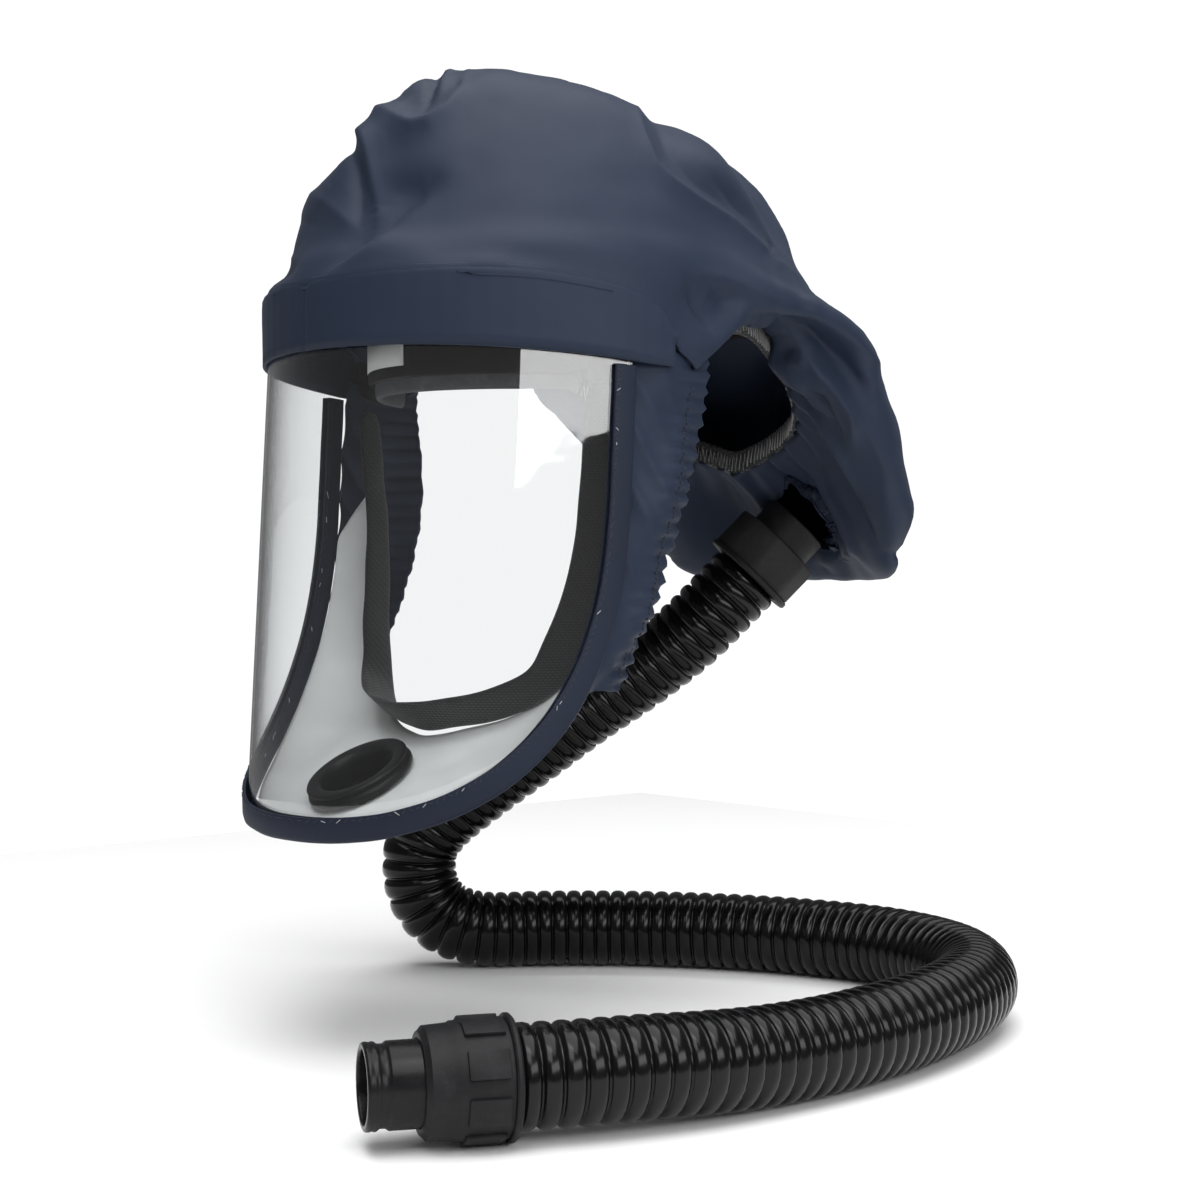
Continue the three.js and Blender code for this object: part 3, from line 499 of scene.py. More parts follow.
def verts_in(grown: Iterable[object]) -> list[bmesh.types.BMVert]:
    """The points among the parts that an operator made."""
    return [part for part in grown if isinstance(part, bmesh.types.BMVert)]


def front_out(bm: bmesh.types.BMesh) -> None:
    """Turns a sheet's faces so that its foremost one looks ahead."""
    bmesh.ops.recalc_face_normals(bm, faces=bm.faces)
    front = min(bm.faces, key=lambda f: f.calc_center_median().y)
    if front.normal.y > 0:
        bmesh.ops.reverse_faces(bm, faces=bm.faces)


def bevelled(bm: bmesh.types.BMesh, edges: Sequence[bmesh.types.BMEdge], width: float,
             clamped: bool = False) -> None:
    """Rounds edges off to that width in metres."""
    bmesh.ops.bevel(bm, geom=edges, offset=width, offset_type="OFFSET", segments=2, profile=0.5,
                    affect="EDGES", material=-1, clamp_overlap=clamped)


def thread_line(points: Sequence[Vector], radius: float) -> bmesh.types.BMesh:
    """A thin tube with five sides through points, narrower at its two ends."""
    rings = []
    last = len(points) - 1
    turns = [math.tau * k / 5 for k in range(5)]
    for i, p in enumerate(points):
        along = (points[min(i + 1, last)] - points[max(i - 1, 0)]).normalized()
        at = seat(p, along)
        r = radius * (0.55 if i in (0, last) else 1)
        rings.append([at @ Vector((r * math.cos(t), r * math.sin(t), 0)) for t in turns])
    return swept(rings)


def gather_into(bm: bmesh.types.BMesh, other: bmesh.types.BMesh, look: int = 0) -> None:
    """Adds another bmesh's shape with its own material number, and frees it."""
    for face in other.faces:
        face.material_index = look
    spare = bpy.data.meshes.new("spare")
    other.to_mesh(spare)
    other.free()
    bm.from_mesh(spare)
    bpy.data.meshes.remove(spare)


def copied(node: str) -> bmesh.types.BMesh:
    """A merged copy of a CAD node's mesh, without its UV maps."""
    bm = bmesh.new()
    bm.from_mesh(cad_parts[node].data)
    bmesh.ops.remove_doubles(bm, verts=bm.verts, dist=1e-5)
    bmesh.ops.dissolve_degenerate(bm, edges=bm.edges, dist=1e-6)
    for layer in list(bm.loops.layers.uv):
        bm.loops.layers.uv.remove(layer)
    return bm


def paired(bm: bmesh.types.BMesh) -> None:
    """Joins a mesh's triangles into quads."""
    bmesh.ops.join_triangles(
        bm, faces=bm.faces, angle_face_threshold=math.radians(50), angle_shape_threshold=math.radians(60)
    )


def outer_sheet(node: str, outward: Vector, limit: float = 66) -> bmesh.types.BMesh:
    """One face of a CAD node's sheet, without its edges and its other face.

    Args:
        node: The CAD node.
        outward: The direction of the face that is kept, where it reaches furthest that way.
        limit: Degrees that neighbouring faces may turn and still be the same sheet.

    Returns:
        The sheet, in quads where its triangles pair up.
    """
    bm = copied(node)
    bm.faces.ensure_lookup_table()
    start = max(
        (f for f in bm.faces if f.normal.dot(outward) > 0.6),
        key=lambda f: f.calc_center_median().dot(outward),
    )
    kept = {start}
    front = [start]
    while front:
        face = front.pop()
        for edge in face.edges:
            if len(edge.link_faces) == 2 and edge.calc_face_angle(math.pi) < math.radians(limit):
                fresh = [f for f in edge.link_faces if f not in kept]
                kept.update(fresh)
                front.extend(fresh)
    bmesh.ops.delete(bm, geom=[f for f in bm.faces if f not in kept], context="FACES")
    paired(bm)
    return bm


def rounded_full(bm: bmesh.types.BMesh, levels: int) -> bmesh.types.BMesh:
    """A shape after that many rounds of subdivision, swollen first by what the rounding takes off."""
    once = rounded(bm.copy(), 1)
    bm.verts.ensure_lookup_table()
    once.verts.ensure_lookup_table()
    for vert in bm.verts:
        vert.co += vert.co - once.verts[vert.index].co
    once.free()
    return rounded(bm, levels)


def rounded(bm: bmesh.types.BMesh, levels: int) -> bmesh.types.BMesh:
    """A shape after that many rounds of subdivision."""
    mesh = bpy.data.meshes.new("rounding")
    bm.to_mesh(mesh)
    bm.free()
    spare = linked("rounding", mesh)
    modifier = spare.modifiers.new("rounding", "SUBSURF")
    modifier.levels = levels
    modifier.render_levels = levels
    seen = spare.evaluated_get(bpy.context.evaluated_depsgraph_get())
    made = bmesh.new()
    made.from_mesh(seen.to_mesh())
    seen.to_mesh_clear()
    bpy.data.objects.remove(spare)
    bpy.data.meshes.remove(mesh)
    return made


@dataclass(frozen=True)
class Drape:
    """A short cloth simulation that lets a sheet slacken and settle where it isn't held."""

    slack: float = 0.006
    pressure: float = 0.5
    gravity: float = 0.2
    stiffness: float = 20.0
    bending: float = 1.5
    frames: int = 14
    cap: float = 0.005

    def settle(self, bm: bmesh.types.BMesh, hold: Callable[[Vector], float]) -> None:
        """Moves the sheet's points to where the cloth settles, none further than the cap.

        Args:
            bm: The sheet.
            hold: How firmly a place is held, from 0 to 1.
        """
        mesh = bpy.data.meshes.new("drape")
        bm.to_mesh(mesh)
        spare = linked("drape", mesh)
        held = spare.vertex_groups.new(name="held")
        for vert in mesh.vertices:
            held.add([vert.index], hold(vert.co), "REPLACE")
        cloth = spare.modifiers.new("drape", "CLOTH")
        cloth.point_cache.frame_end = self.frames
        cloth.collision_settings.use_self_collision = False
        settings = cloth.settings
        settings.quality = 6
        settings.mass = 0.2
        settings.air_damping = 4
        settings.tension_stiffness = self.stiffness
        settings.compression_stiffness = self.stiffness
        settings.shear_stiffness = self.stiffness / 2
        settings.bending_stiffness = self.bending
        settings.vertex_group_mass = "held"
        settings.shrink_min = -self.slack
        settings.use_pressure = True
        settings.uniform_pressure_force = self.pressure
        settings.effector_weights.gravity = self.gravity
        for step in range(1, self.frames + 1):
            bpy.context.scene.frame_set(step)
        settled = spare.evaluated_get(bpy.context.evaluated_depsgraph_get()).data
        bm.verts.ensure_lookup_table()
        for vert, place in zip(bm.verts, settled.vertices):
            move = place.co - vert.co
            if move.length > self.cap:
                move = move.normalized() * self.cap
            vert.co += move * (1 - hold(vert.co))
        bpy.context.scene.frame_set(1)
        bpy.data.objects.remove(spare)
        bpy.data.meshes.remove(mesh)


def walled(made: bpy.types.Object, wall: float, offset: float = -1) -> None:
    """Gives a sheet its thickness: on its inner side at an offset of -1, on its outer side at 1."""
    solid = made.modifiers.new("wall", "SOLIDIFY")
    solid.thickness = wall
    solid.offset = offset
    solid.use_even_offset = False


# The photograph's view


@dataclass(frozen=True)
class PhotoView:
    """The camera of the photograph, whose frame is taken as 1200 pixels square."""

    frame_px: int = 1200
    focal_px: float = 2000.0
    place: tuple[float, float, float] = (0.6763, -0.5939, -0.100)
    heading: tuple[float, float] = (-0.7431, 0.6691)
    horizon_px: float = 580.0

    def axes(self) -> tuple[Vector, Vector]:
        """Level directions into the picture and to its right."""
        ahead = Vector((self.heading[0], self.heading[1], 0))
        return ahead, Vector((self.heading[1], -self.heading[0], 0))

    def pixel(self, point: Vector) -> Vector:
        """Where a point lies in the photograph's frame."""
        ahead, right = self.axes()
        away = point - Vector(self.place)
        depth = away.dot(ahead)
        middle = self.frame_px / 2
        return Vector((middle + self.focal_px * away.dot(right) / depth,
                       self.horizon_px - self.focal_px * away.z / depth))

    def camera(self) -> bpy.types.Object:
        """The scene's camera."""
        data = bpy.data.cameras.new("photo_camera")
        data.sensor_width = 36
        data.lens = self.focal_px / self.frame_px * data.sensor_width
        made = linked("photo_camera", data)
        made.location = self.place
        dip = math.atan2(self.frame_px / 2 - self.horizon_px, self.focal_px)
        side = math.atan2(-self.heading[0], self.heading[1])
        made.rotation_euler = (math.pi / 2 - dip, 0, side)
        bpy.context.scene.camera = made
        return made


@dataclass
class Studio:
    """White floor and backdrop with soft light, and one bright softbox that shows in the visor."""

    floor_z: float = -0.2933
    floor_size: float = 1.3
    ambient: float = 0.16
    backdrop: float = 1.05

    def lamp(self, name: str, size: tuple[float, float], place: Vector, aim: Vector, glow: float) -> None:
        """Adds a soft rectangular lamp.

        Args:
            name: Its name.
            size: Width and height in metres.
            place: Its middle.
            aim: What it faces.
            glow: How bright its face is, where a white backdrop is 1.
        """
        data = bpy.data.lights.new(name, "AREA")
        data.shape = "RECTANGLE"
        data.size, data.size_y = size
        data.energy = glow * math.pi * size[0] * size[1]
        made = linked(name, data)
        made.location = place
        made.rotation_euler = (aim - place).to_track_quat("-Z", "Y").to_euler()

    def build(self) -> None:
        """Floor, backdrop and lamps."""
        bpy.context.scene.view_settings.view_transform = "Standard"
        world = bpy.data.worlds.new("white_backdrop")
        bpy.context.scene.world = world
        world.use_nodes = True
        tree = world.node_tree
        seen = tree.nodes.new("ShaderNodeLightPath")
        back = tree.nodes["Background"]
        back.inputs["Color"].default_value = (1, 1, 1, 1)
        strength = tree.nodes.new("ShaderNodeMapRange")
        strength.inputs["To Min"].default_value = self.ambient
        strength.inputs["To Max"].default_value = self.backdrop
        tree.links.new(seen.outputs["Is Camera Ray"], strength.inputs["Value"])
        tree.links.new(strength.outputs[0], back.inputs["Strength"])
        bm = bmesh.new()
        bmesh.ops.create_grid(bm, x_segments=1, y_segments=1, size=self.floor_size / 2)
        bmesh.ops.translate(bm, vec=(0, 0, self.floor_z), verts=bm.verts)
        mesh = bpy.data.meshes.new("floor")
        bm.to_mesh(mesh)
        bm.free()
        floor = linked("floor", mesh)
        g = Graph("white_floor")
        mesh.materials.append(g.dressed((0.94, 0.94, 0.94, 1), 0.8, Specular_IOR_Level=0.2))
        self.lamp("side_softbox", (1.15, 0.34), Vector((1.1, -0.16, 0.235)), Vector((0, -0.05, -0.03)), 5.0)
        self.lamp("top_softbox", (2.4, 2.4), Vector((0.2, 0.1, 1.8)), Vector((0.1, 0.0, -0.3)), 2.8)
        self.lamp("key_softbox", (1.1, 1.1), Vector((0.75, -0.85, 1.2)), Vector((0, 0, -0.05)), 4.2)


# The hose


@dataclass(frozen=True)
class Route:
    """A smooth line through given points, on a centripetal curve."""

    points: Points
    steps: int = 24

    def line(self) -> list[Vector]:
        """Close points along the whole route."""
        given = [Vector(p) for p in self.points]
        ends = [given[0] * 2 - given[1], *given, given[-1] * 2 - given[-2]]
        line = []
        for p0, p1, p2, p3 in zip(ends, ends[1:], ends[2:], ends[3:]):
            a, b, c = (math.sqrt((q - p).length) for p, q in ((p0, p1), (p1, p2), (p2, p3)))
            m1 = ((p1 - p0) / a - (p2 - p0) / (a + b) + (p2 - p1) / b) * b
            m2 = ((p2 - p1) / b - (p3 - p1) / (b + c) + (p3 - p2) / c) * b
            for k in range(self.steps):
                t = k / self.steps
                rest = 1 - t
                line.append(
                    p1 * (rest * rest * (1 + 2 * t)) + m1 * (t * rest * rest)
                    + p2 * (t * t * (3 - 2 * t)) - m2 * (t * t * rest)
                )
        return [*line, given[-1]]


@dataclass
class FramedLine:
    """A line with a frame at each of its points, turned as little as the line allows."""

    line: list[Vector]
    marks: list[float] = field(init=False)
    sides: list[Vector] = field(init=False)

    def __post_init__(self) -> None:
        """Measures the line and carries a side direction along it."""
        self.marks = [0.0]
        for p, q in zip(self.line, self.line[1:]):
            self.marks.append(self.marks[-1] + (q - p).length)
        side = self.ahead(0).orthogonal().normalized()
        self.sides = []
        for i in range(len(self.line)):
            ahead = self.ahead(i)
            side = (side - ahead * side.dot(ahead)).normalized()
            self.sides.append(side)

    def ahead(self, i: int) -> Vector:
        """The line's direction at a point."""
        return (self.line[min(i + 1, len(self.line) - 1)] - self.line[max(i - 1, 0)]).normalized()

    @property
    def length(self) -> float:
        """The line's whole length."""
        return self.marks[-1]

    def at(self, s: float) -> Matrix:
        """The frame s metres along the line, with +Z ahead."""
        s = min(max(s, 0.0), self.length)
        low, high = 0, len(self.marks) - 1
        while high - low > 1:
            half = (low + high) // 2
            if self.marks[half] <= s:
                low = half
            else:
                high = half
        t = (s - self.marks[low]) / (self.marks[high] - self.marks[low])
        ahead = self.ahead(low).lerp(self.ahead(high), t).normalized()
        side = self.sides[low].lerp(self.sides[high], t)
        side = (side - ahead * side.dot(ahead)).normalized()
        spot = self.line[low].lerp(self.line[high], t)
        turn = Matrix((side, ahead.cross(side), ahead)).transposed().to_4x4()
        return Matrix.Translation(spot) @ turn


@dataclass
class BreathingHose:
    """Corrugated hose from the nape down behind the neck and round on the floor to its end."""

    route: Points = (
        (0.001, 0.110, -0.098), (-0.008, 0.100, -0.112), (-0.019, 0.091, -0.126), (-0.038, 0.078, -0.144),
        (-0.062, 0.061, -0.164), (-0.084, 0.045, -0.184), (-0.104, 0.028, -0.203), (-0.119, 0.014, -0.220),
        (-0.125, 0.008, -0.232), (-0.126, 0.007, -0.244), (-0.124, 0.009, -0.257), (-0.119, 0.015, -0.267),
        (-0.112, 0.022, -0.272), (-0.104, 0.032, -0.2745), (-0.087, 0.056, -0.2745), (-0.058, 0.088, -0.2745),
        (-0.018, 0.118, -0.2745), (0.022, 0.137, -0.2745), (0.058, 0.145, -0.2745), (0.093, 0.141, -0.2745),
        (0.121, 0.127, -0.2745), (0.144, 0.103, -0.2745), (0.160, 0.070, -0.2745), (0.170, 0.034, -0.2745),
        (0.175, 0.000, -0.2745), (0.176, -0.032, -0.2745), (0.174, -0.063, -0.274), (0.1705, -0.091, -0.2725),
        (0.1645, -0.114, -0.2713), (0.1565, -0.136, -0.271), (0.146, -0.157, -0.271),
    )
    crest: float = 0.0185
    root: float = 0.0157
    bore: float = 0.0132
    ribs: int = 116
    sides: int = 28
    rib_shape: tuple[float, ...] = (0.0, 0.07, 0.2, 0.38, 0.62, 0.8, 0.93)
    centre: FramedLine = field(init=False)

    def __post_init__(self) -> None:
        """Lays the centreline."""
        self.centre = FramedLine(Route(self.route).line())

    def radius(self, share: float) -> float:
        """Outer radius at a share of a rib, from groove to groove."""
        lobe = max(0.0, 1 - abs(2 * share - 1) ** 2.4) ** 0.5
        return self.root + (self.crest - self.root) * lobe

    def build(self, looks: Looks) -> bpy.types.Object:
        """The hose as one open-ended ribbed tube with a plain bore."""
        pitch = self.centre.length / self.ribs
        outside = [
            (self.radius(share), (rib + share) * pitch)
            for rib in range(self.ribs) for share in self.rib_shape
        ]
        outside.append((self.root, self.centre.length))
        inside = [(self.bore, self.centre.length * (1 - k / self.ribs)) for k in range(self.ribs + 1)]
        bm = turned(outside + inside, self.sides, Matrix())
        for vert in bm.verts:
            x, y, s = vert.co
            vert.co = self.centre.at(s) @ Vector((x, y, 0))
        return put(bm, "hose_tube", [looks.hose], ["breathing_hose"])


# The cloth


class FoldKind(Enum):
    """How a fold stands in the cloth."""

    RIDGE = "ridge"
    VALLEY = "valley"
    LAP = "lap"
    SWELL = "swell"
    HOLLOW = "hollow"


@dataclass(frozen=True)
class Fold:
    """A fold drawn on the photograph.

    It runs through pixels of the photograph's frame. half_width is in the same pixels and depth in
    millimetres. A ridge or valley has a sharp middle, a swell or hollow a round one. A lap stands up
    to the right of its line, as it runs, and drops sharply on its left.
    """

    name: str
    line_px: tuple[tuple[float, float], ...]
    half_width: float
    depth: float
    kind: FoldKind = FoldKind.VALLEY

    @cached_property
    def steps(self) -> list[tuple[Vector, Vector, float]]:
        """Each straight part of the line: where it starts, its run and the line's length before it."""
        found = []
        before = 0.0
        for a, b in zip(self.line_px, self.line_px[1:]):
            run = Vector(b) - Vector(a)
            found.append((Vector(a), run, before))
            before += run.length
        return found

    @cached_property
    def frame(self) -> tuple[float, float, float, float]:
        """The lowest and highest pixels that the fold reaches: left, right, top, bottom."""
        reach = 2.6 * self.half_width
        across, down = zip(*self.line_px)
        return min(across) - reach, max(across) + reach, min(down) - reach, max(down) + reach

    def reaches(self, spot: Vector) -> bool:
        """Whether a pixel lies in the fold's frame."""
        left, right, top, bottom = self.frame
        return left < spot.x < right and top < spot.y < bottom

    def lift(self, spot: Vector) -> float:
        """How far the cloth moves outwards at a pixel, in metres."""
        if not self.reaches(spot):
            return 0.0
        distance, turn, mark = math.inf, 0.0, 0.0
        for start, run, before in self.steps:
            t = min(max((spot - start).dot(run) / run.length_squared, 0.0), 1.0)
            away = spot - start - run * t
            if away.length < distance:
                distance, mark = away.length, before + t * run.length
                turn = run.x * away.y - run.y * away.x
        start, run, before = self.steps[-1]
        share = mark / (before + run.length)
        fade = math.sin(math.pi * (0.06 + 0.88 * share)) ** 0.6
        reach = self.half_width
        if self.kind is FoldKind.LAP and turn <= 0:
            reach *= 0.22
        power = 2.0 if self.kind in (FoldKind.SWELL, FoldKind.HOLLOW) else 1.25
        size = self.depth * MM * fade * math.exp(-((distance / reach) ** power))
        return -size if self.kind in (FoldKind.VALLEY, FoldKind.HOLLOW) else size


@dataclass
class HoodCloth:
    """The loose navy cloth over the head, with its folds, seams and the gathered bag behind."""

    wall: float = 0.0012
    crown_y: float = 0.010
    far_share: float = 0.8
    gathers: int = 46
    gather_depth: float = 0.0016
    gather_reach: float = 0.034
    brow_radius: float = 0.1047
    brow_reach: float = 0.016
    brow_end: float = 72.0
    overlap: float = 0.0022
    relaxing: int = 26
    drape: Drape = Drape()
    folds: tuple[Fold, ...] = (
        Fold("front crease", ((314, 284), (322, 275), (333, 265), (350, 250), (366, 239)), 6, 3.0),
        Fold("front crease end", ((356, 247), (390, 223), (412, 202), (432, 183)), 10, 2.2),
        Fold("front crease lip", ((326, 283), (342, 268), (360, 254), (398, 230), (428, 205)), 10, 1.6,
             FoldKind.RIDGE),
        Fold("front dart", ((374, 205), (373, 165), (374, 128)), 16, 4.2, FoldKind.LAP),
        Fold("front dart floor", ((364, 126), (361, 170), (358, 222)), 9, 3.4),
        Fold("front dart hollow", ((366, 205), (392, 192), (424, 184)), 16, 3.0, FoldKind.HOLLOW),
        Fold("left bulge", ((312, 186), (303, 200), (298, 222)), 20, 4.0, FoldKind.SWELL),
        Fold("left edge", ((303, 197), (330, 206), (352, 226)), 9, 1.4, FoldKind.RIDGE),
        Fold("pleat ridge", ((378, 122), (400, 122), (415, 128), (430, 125), (450, 115), (465, 100),
                             (471, 88)), 7, 3.0, FoldKind.RIDGE),
        Fold("pleat hollow", ((386, 108), (408, 112), (430, 108)), 12, 3.0, FoldKind.HOLLOW),
        Fold("pleat notch", ((362, 132), (372, 124), (384, 121)), 5, 2.0),
        Fold("peak fold", ((450, 66), (447, 82), (436, 100), (429, 113)), 5, 4.0),
        Fold("peak", ((466, 62), (452, 87), (437, 108)), 6, 2.6, FoldKind.RIDGE),
        Fold("front top", ((330, 168), (368, 112), (398, 88), (458, 64), (520, 72), (600, 90)), 40, 6.0,
             FoldKind.SWELL),
        Fold("front top corner", ((322, 176), (345, 150), (366, 124), (392, 94), (408, 84)), 20, 12.0,
             FoldKind.SWELL),
        Fold("peak height", ((424, 78), (460, 66), (520, 72)), 26, 4.5, FoldKind.SWELL),
        Fold("rear top", ((570, 85), (620, 98), (655, 112), (690, 135), (725, 165), (748, 188)), 28, 8.5,
             FoldKind.SWELL),
        Fold("brow notch", ((286, 256), (280, 274), (276, 292)), 12, 4.5, FoldKind.HOLLOW),
        Fold("bag shoulder", ((826, 304), (856, 325), (880, 352), (897, 384)), 16, 3.5, FoldKind.SWELL),
        Fold("brow valley", ((446, 262), (500, 266), (560, 276), (610, 292), (650, 312), (676, 334)), 17, 4.2,
             FoldKind.HOLLOW),
        Fold("brow swell", ((470, 236), (540, 244), (610, 260), (660, 286)), 20, 1.6, FoldKind.SWELL),
        Fold("brow lower swell", ((520, 305), (580, 318), (630, 336)), 18, 1.8, FoldKind.SWELL),
        Fold("crown seam", ((617, 98), (636, 134), (655, 167), (669, 182), (699, 203), (729, 222), (756, 245),
                            (780, 266), (806, 287)), 6, 2.6, FoldKind.RIDGE),
        Fold("crown seam shade", ((640, 120), (664, 156), (694, 186), (722, 206)), 8, 1.4),
        Fold("crown tuck", ((712, 184), (728, 199), (745, 220)), 6, 2.6),
        Fold("rear seam", ((740, 179), (768, 205), (790, 248), (802, 276)), 5, 1.8, FoldKind.RIDGE),
        Fold("second rear seam", ((756, 190), (777, 227), (795, 263)), 4, 1.4, FoldKind.RIDGE),
        Fold("seam pucker", ((766, 240), (772, 247), (768, 254), (776, 262)), 4, 1.4),
        Fold("hem dent", ((690, 284), (700, 306), (716, 330)), 10, 5.5),
        Fold("hem dent floor", ((712, 292), (728, 300), (722, 318)), 14, 4.5, FoldKind.HOLLOW),
        Fold("hem dent lip", ((704, 274), (740, 284), (770, 300)), 9, 2.0, FoldKind.RIDGE),
        Fold("bag lip", ((902, 404), (884, 376), (852, 342), (812, 317), (768, 313)), 15, 3.5, FoldKind.LAP),
        Fold("bag underside", ((768, 332), (808, 342), (842, 364), (872, 398)), 19, 11.0, FoldKind.HOLLOW),
        Fold("bag ridge", ((786, 362), (810, 364), (830, 384), (849, 412), (852, 440)), 8, 6.0,
             FoldKind.RIDGE),
        Fold("bag middle valley", ((800, 390), (822, 404), (840, 440)), 8, 5.0),
        Fold("bag second ridge", ((808, 408), (834, 444), (852, 486)), 7, 5.0, FoldKind.RIDGE),
        Fold("bag valley", ((804, 420), (815, 458), (842, 504), (874, 544)), 13, 9.0),
        Fold("bag lower valley", ((792, 460), (806, 506), (832, 560)), 15, 6.0, FoldKind.HOLLOW),
        Fold("bag outer fold", ((868, 430), (884, 470), (886, 520)), 10, 2.5, FoldKind.RIDGE),
        Fold("bag corner", ((912, 490), (914, 524), (912, 556)), 20, 9.5, FoldKind.SWELL),
        Fold("bag low corner", ((906, 596), (884, 604), (858, 604)), 14, 8.0, FoldKind.HOLLOW),
        Fold("bag corner crease", ((880, 557), (896, 553), (914, 560)), 4, 2.2),
    )

    def lift(self, spot: Vector, facing: float, azimuth: float, view: PhotoView) -> float:
        """How far the drawn folds move the cloth at a place and at the same place across the middle."""
        total = 0.0
        near = smoothstep(-0.45, -0.15, facing)
        if near > 0:
            pixel = view.pixel(spot)
            total += near * sum(fold.lift(pixel) for fold in self.folds)
        if azimuth < -35:
            pixel = view.pixel(Vector((-spot.x, spot.y, spot.z)))
            share = self.far_share * smoothstep(-35, -55, azimuth)
            total += share * sum(fold.lift(pixel) for fold in self.folds)
        return total

    def hold(self, p: Vector) -> float:
        """How firmly the cloth is held at a place: at its hems, and round the peak."""
        away = Vector((p.x, p.y - self.crown_y))
        azimuth = abs(azimuth_of(away))
        front = smoothstep(0.045, 0.022, p.z) * smoothstep(95, 80, azimuth)
        rear = smoothstep(0.078, 0.06, away.length) * smoothstep(0.05, 0.03, p.z)
        side = smoothstep(0.03, 0.012, p.z) * smoothstep(125, 100, azimuth) * smoothstep(60, 80, azimuth)
        low = smoothstep(-0.085, -0.1, p.z)
        return min(1.0, front + rear + side + low)

    def hem_tree(self, bm: bmesh.types.BMesh) -> kdtree.KDTree:
        """The points along the cloth's open edge, for measuring how near a place is to them."""
        found = kdtree.KDTree(len(bm.verts))
        for vert in bm.verts:
            if vert.is_boundary:
                found.insert(vert.co, vert.index)
        found.balance()
        return found

    def open_front(self, bm: bmesh.types.BMesh) -> None:
        """Takes the turned-under strip off the cloth's front edge, where the brow band meets it."""
        under = []
        for face in bm.faces:
            middle = face.calc_center_median()
            azimuth = abs(azimuth_of(middle, self.crown_y))
            if azimuth < self.brow_end and middle.z < 0.04 and face.normal.z < -0.15:
                under.append(face)
        bmesh.ops.delete(bm, geom=under, context="FACES")

    def meet_brow(self, bm: bmesh.types.BMesh, hem: kdtree.KDTree) -> None:
        """Brings the cloth's front edge out over the brow band, flush with it on the wearer's left."""
        band = BVHTree.FromBMesh(copied("brow_band"))
        shifts = {}
        for vert in bm.verts:
            if vert.is_boundary:
                across = band.find_nearest(vert.co)[0] - vert.co
                outward = Vector((vert.co.x, vert.co.y - BROW_CENTRE_Y, 0)).normalized()
                across -= outward * across.dot(outward)
                close = smoothstep(0.006, 0.003, across.length)
                shifts[vert.index] = across.normalized() * (across.length + self.overlap) * close
        for vert in bm.verts:
            turn = azimuth_of(vert.co, BROW_CENTRE_Y)
            if abs(turn) > 100 or vert.co.z > 0.05:
                continue
            index, distance = hem.find(vert.co)[1:]
            side = smoothstep(*FLUSH_FROM, turn) * smoothstep(96, 84, turn)
            vert.co += shifts[index] * smoothstep(0.007, 0.0, distance)
            x, y = vert.co.x, vert.co.y - BROW_CENTRE_Y
            r = math.hypot(x, y)
            out = (self.brow_radius - r) * smoothstep(self.brow_reach, 0.001, distance) * side
            vert.co += Vector((x / r * out, y / r * out, 0))

    def relax(self, bm: bmesh.types.BMesh, hem: kdtree.KDTree) -> None:
        """Evens out the cloth away from its hem, where it is stiff and full."""
        free = []
        for vert in bm.verts:
            away = hem.find(vert.co)[2]
            azimuth = abs(azimuth_of(vert.co, self.crown_y))
            if away > lerp(0.003, 0.018, smoothstep(75, 95, azimuth)):
                free.append(vert)
        for _ in range(self.relaxing):
            bmesh.ops.smooth_vert(
                bm, verts=free, factor=0.5, use_axis_x=True, use_axis_y=True, use_axis_z=True
            )

    def refine(self, bm: bmesh.types.BMesh, view: PhotoView) -> None:
        """Splits the faces near the narrow folds, so that those can stand out crisply."""
        narrow = [fold for fold in self.folds if fold.kind not in (FoldKind.SWELL, FoldKind.HOLLOW)]
        eye = Vector(view.place)
        edges = set()
        for face in bm.faces:
            middle, normal = face.calc_center_median(), face.normal
            for flip in (1, -1):
                spot = Vector((flip * middle.x, middle.y, middle.z))
                facing = Vector((flip * normal.x, normal.y, normal.z)).dot((eye - spot).normalized())
                if facing > -0.3:
                    pixel = view.pixel(spot)
                    if any(fold.reaches(pixel) and abs(fold.lift(pixel)) > 0.0006 for fold in narrow):
                        edges.update(face.edges)
                        break
        bmesh.ops.subdivide_edges(bm, edges=list(edges), cuts=1, use_grid_fill=True)

    def build(self, looks: Looks, view: PhotoView) -> bpy.types.Object:
        """The cloth: the CAD sheet rounded, slackened, folded, gathered and given its wall."""
        bm = outer_sheet("hood_shell", Vector((0, 0, 1)))
        self.open_front(bm)
        bm = rounded_full(bm, 2)
        self.drape.settle(bm, self.hold)
        hem = self.hem_tree(bm)
        self.meet_brow(bm, hem)
        self.relax(bm, hem)
        bm.normal_update()
        self.refine(bm, view)
        bm.normal_update()
        eye = Vector(view.place)
        for vert in bm.verts:
            p, n = vert.co, vert.normal
            azimuth = azimuth_of(Vector((p.x, p.y - self.crown_y)))
            away_from_hem = hem.find(p)[2]
            move = self.lift(p, n.dot((eye - p).normalized()), azimuth, view)
            move += 0.0005 * noise.noise(p * 34) + 0.0002 * noise.noise(p * 95)
            if abs(azimuth) < 80:
                move *= smoothstep(0.0, 0.012, away_from_hem)
            rear = smoothstep(84, 104, abs(azimuth))
            edge = smoothstep(self.gather_reach, 0.004, away_from_hem)
            wave = math.cos(math.radians(azimuth * self.gathers) + 3 * noise.noise(p * 20))
            vert.co += n * (move + self.gather_depth * rear * edge * wave)
        made = put(bm, "hood_cloth", [looks.cloth], ["hood_shell"])
        walled(made, self.wall)
        return made


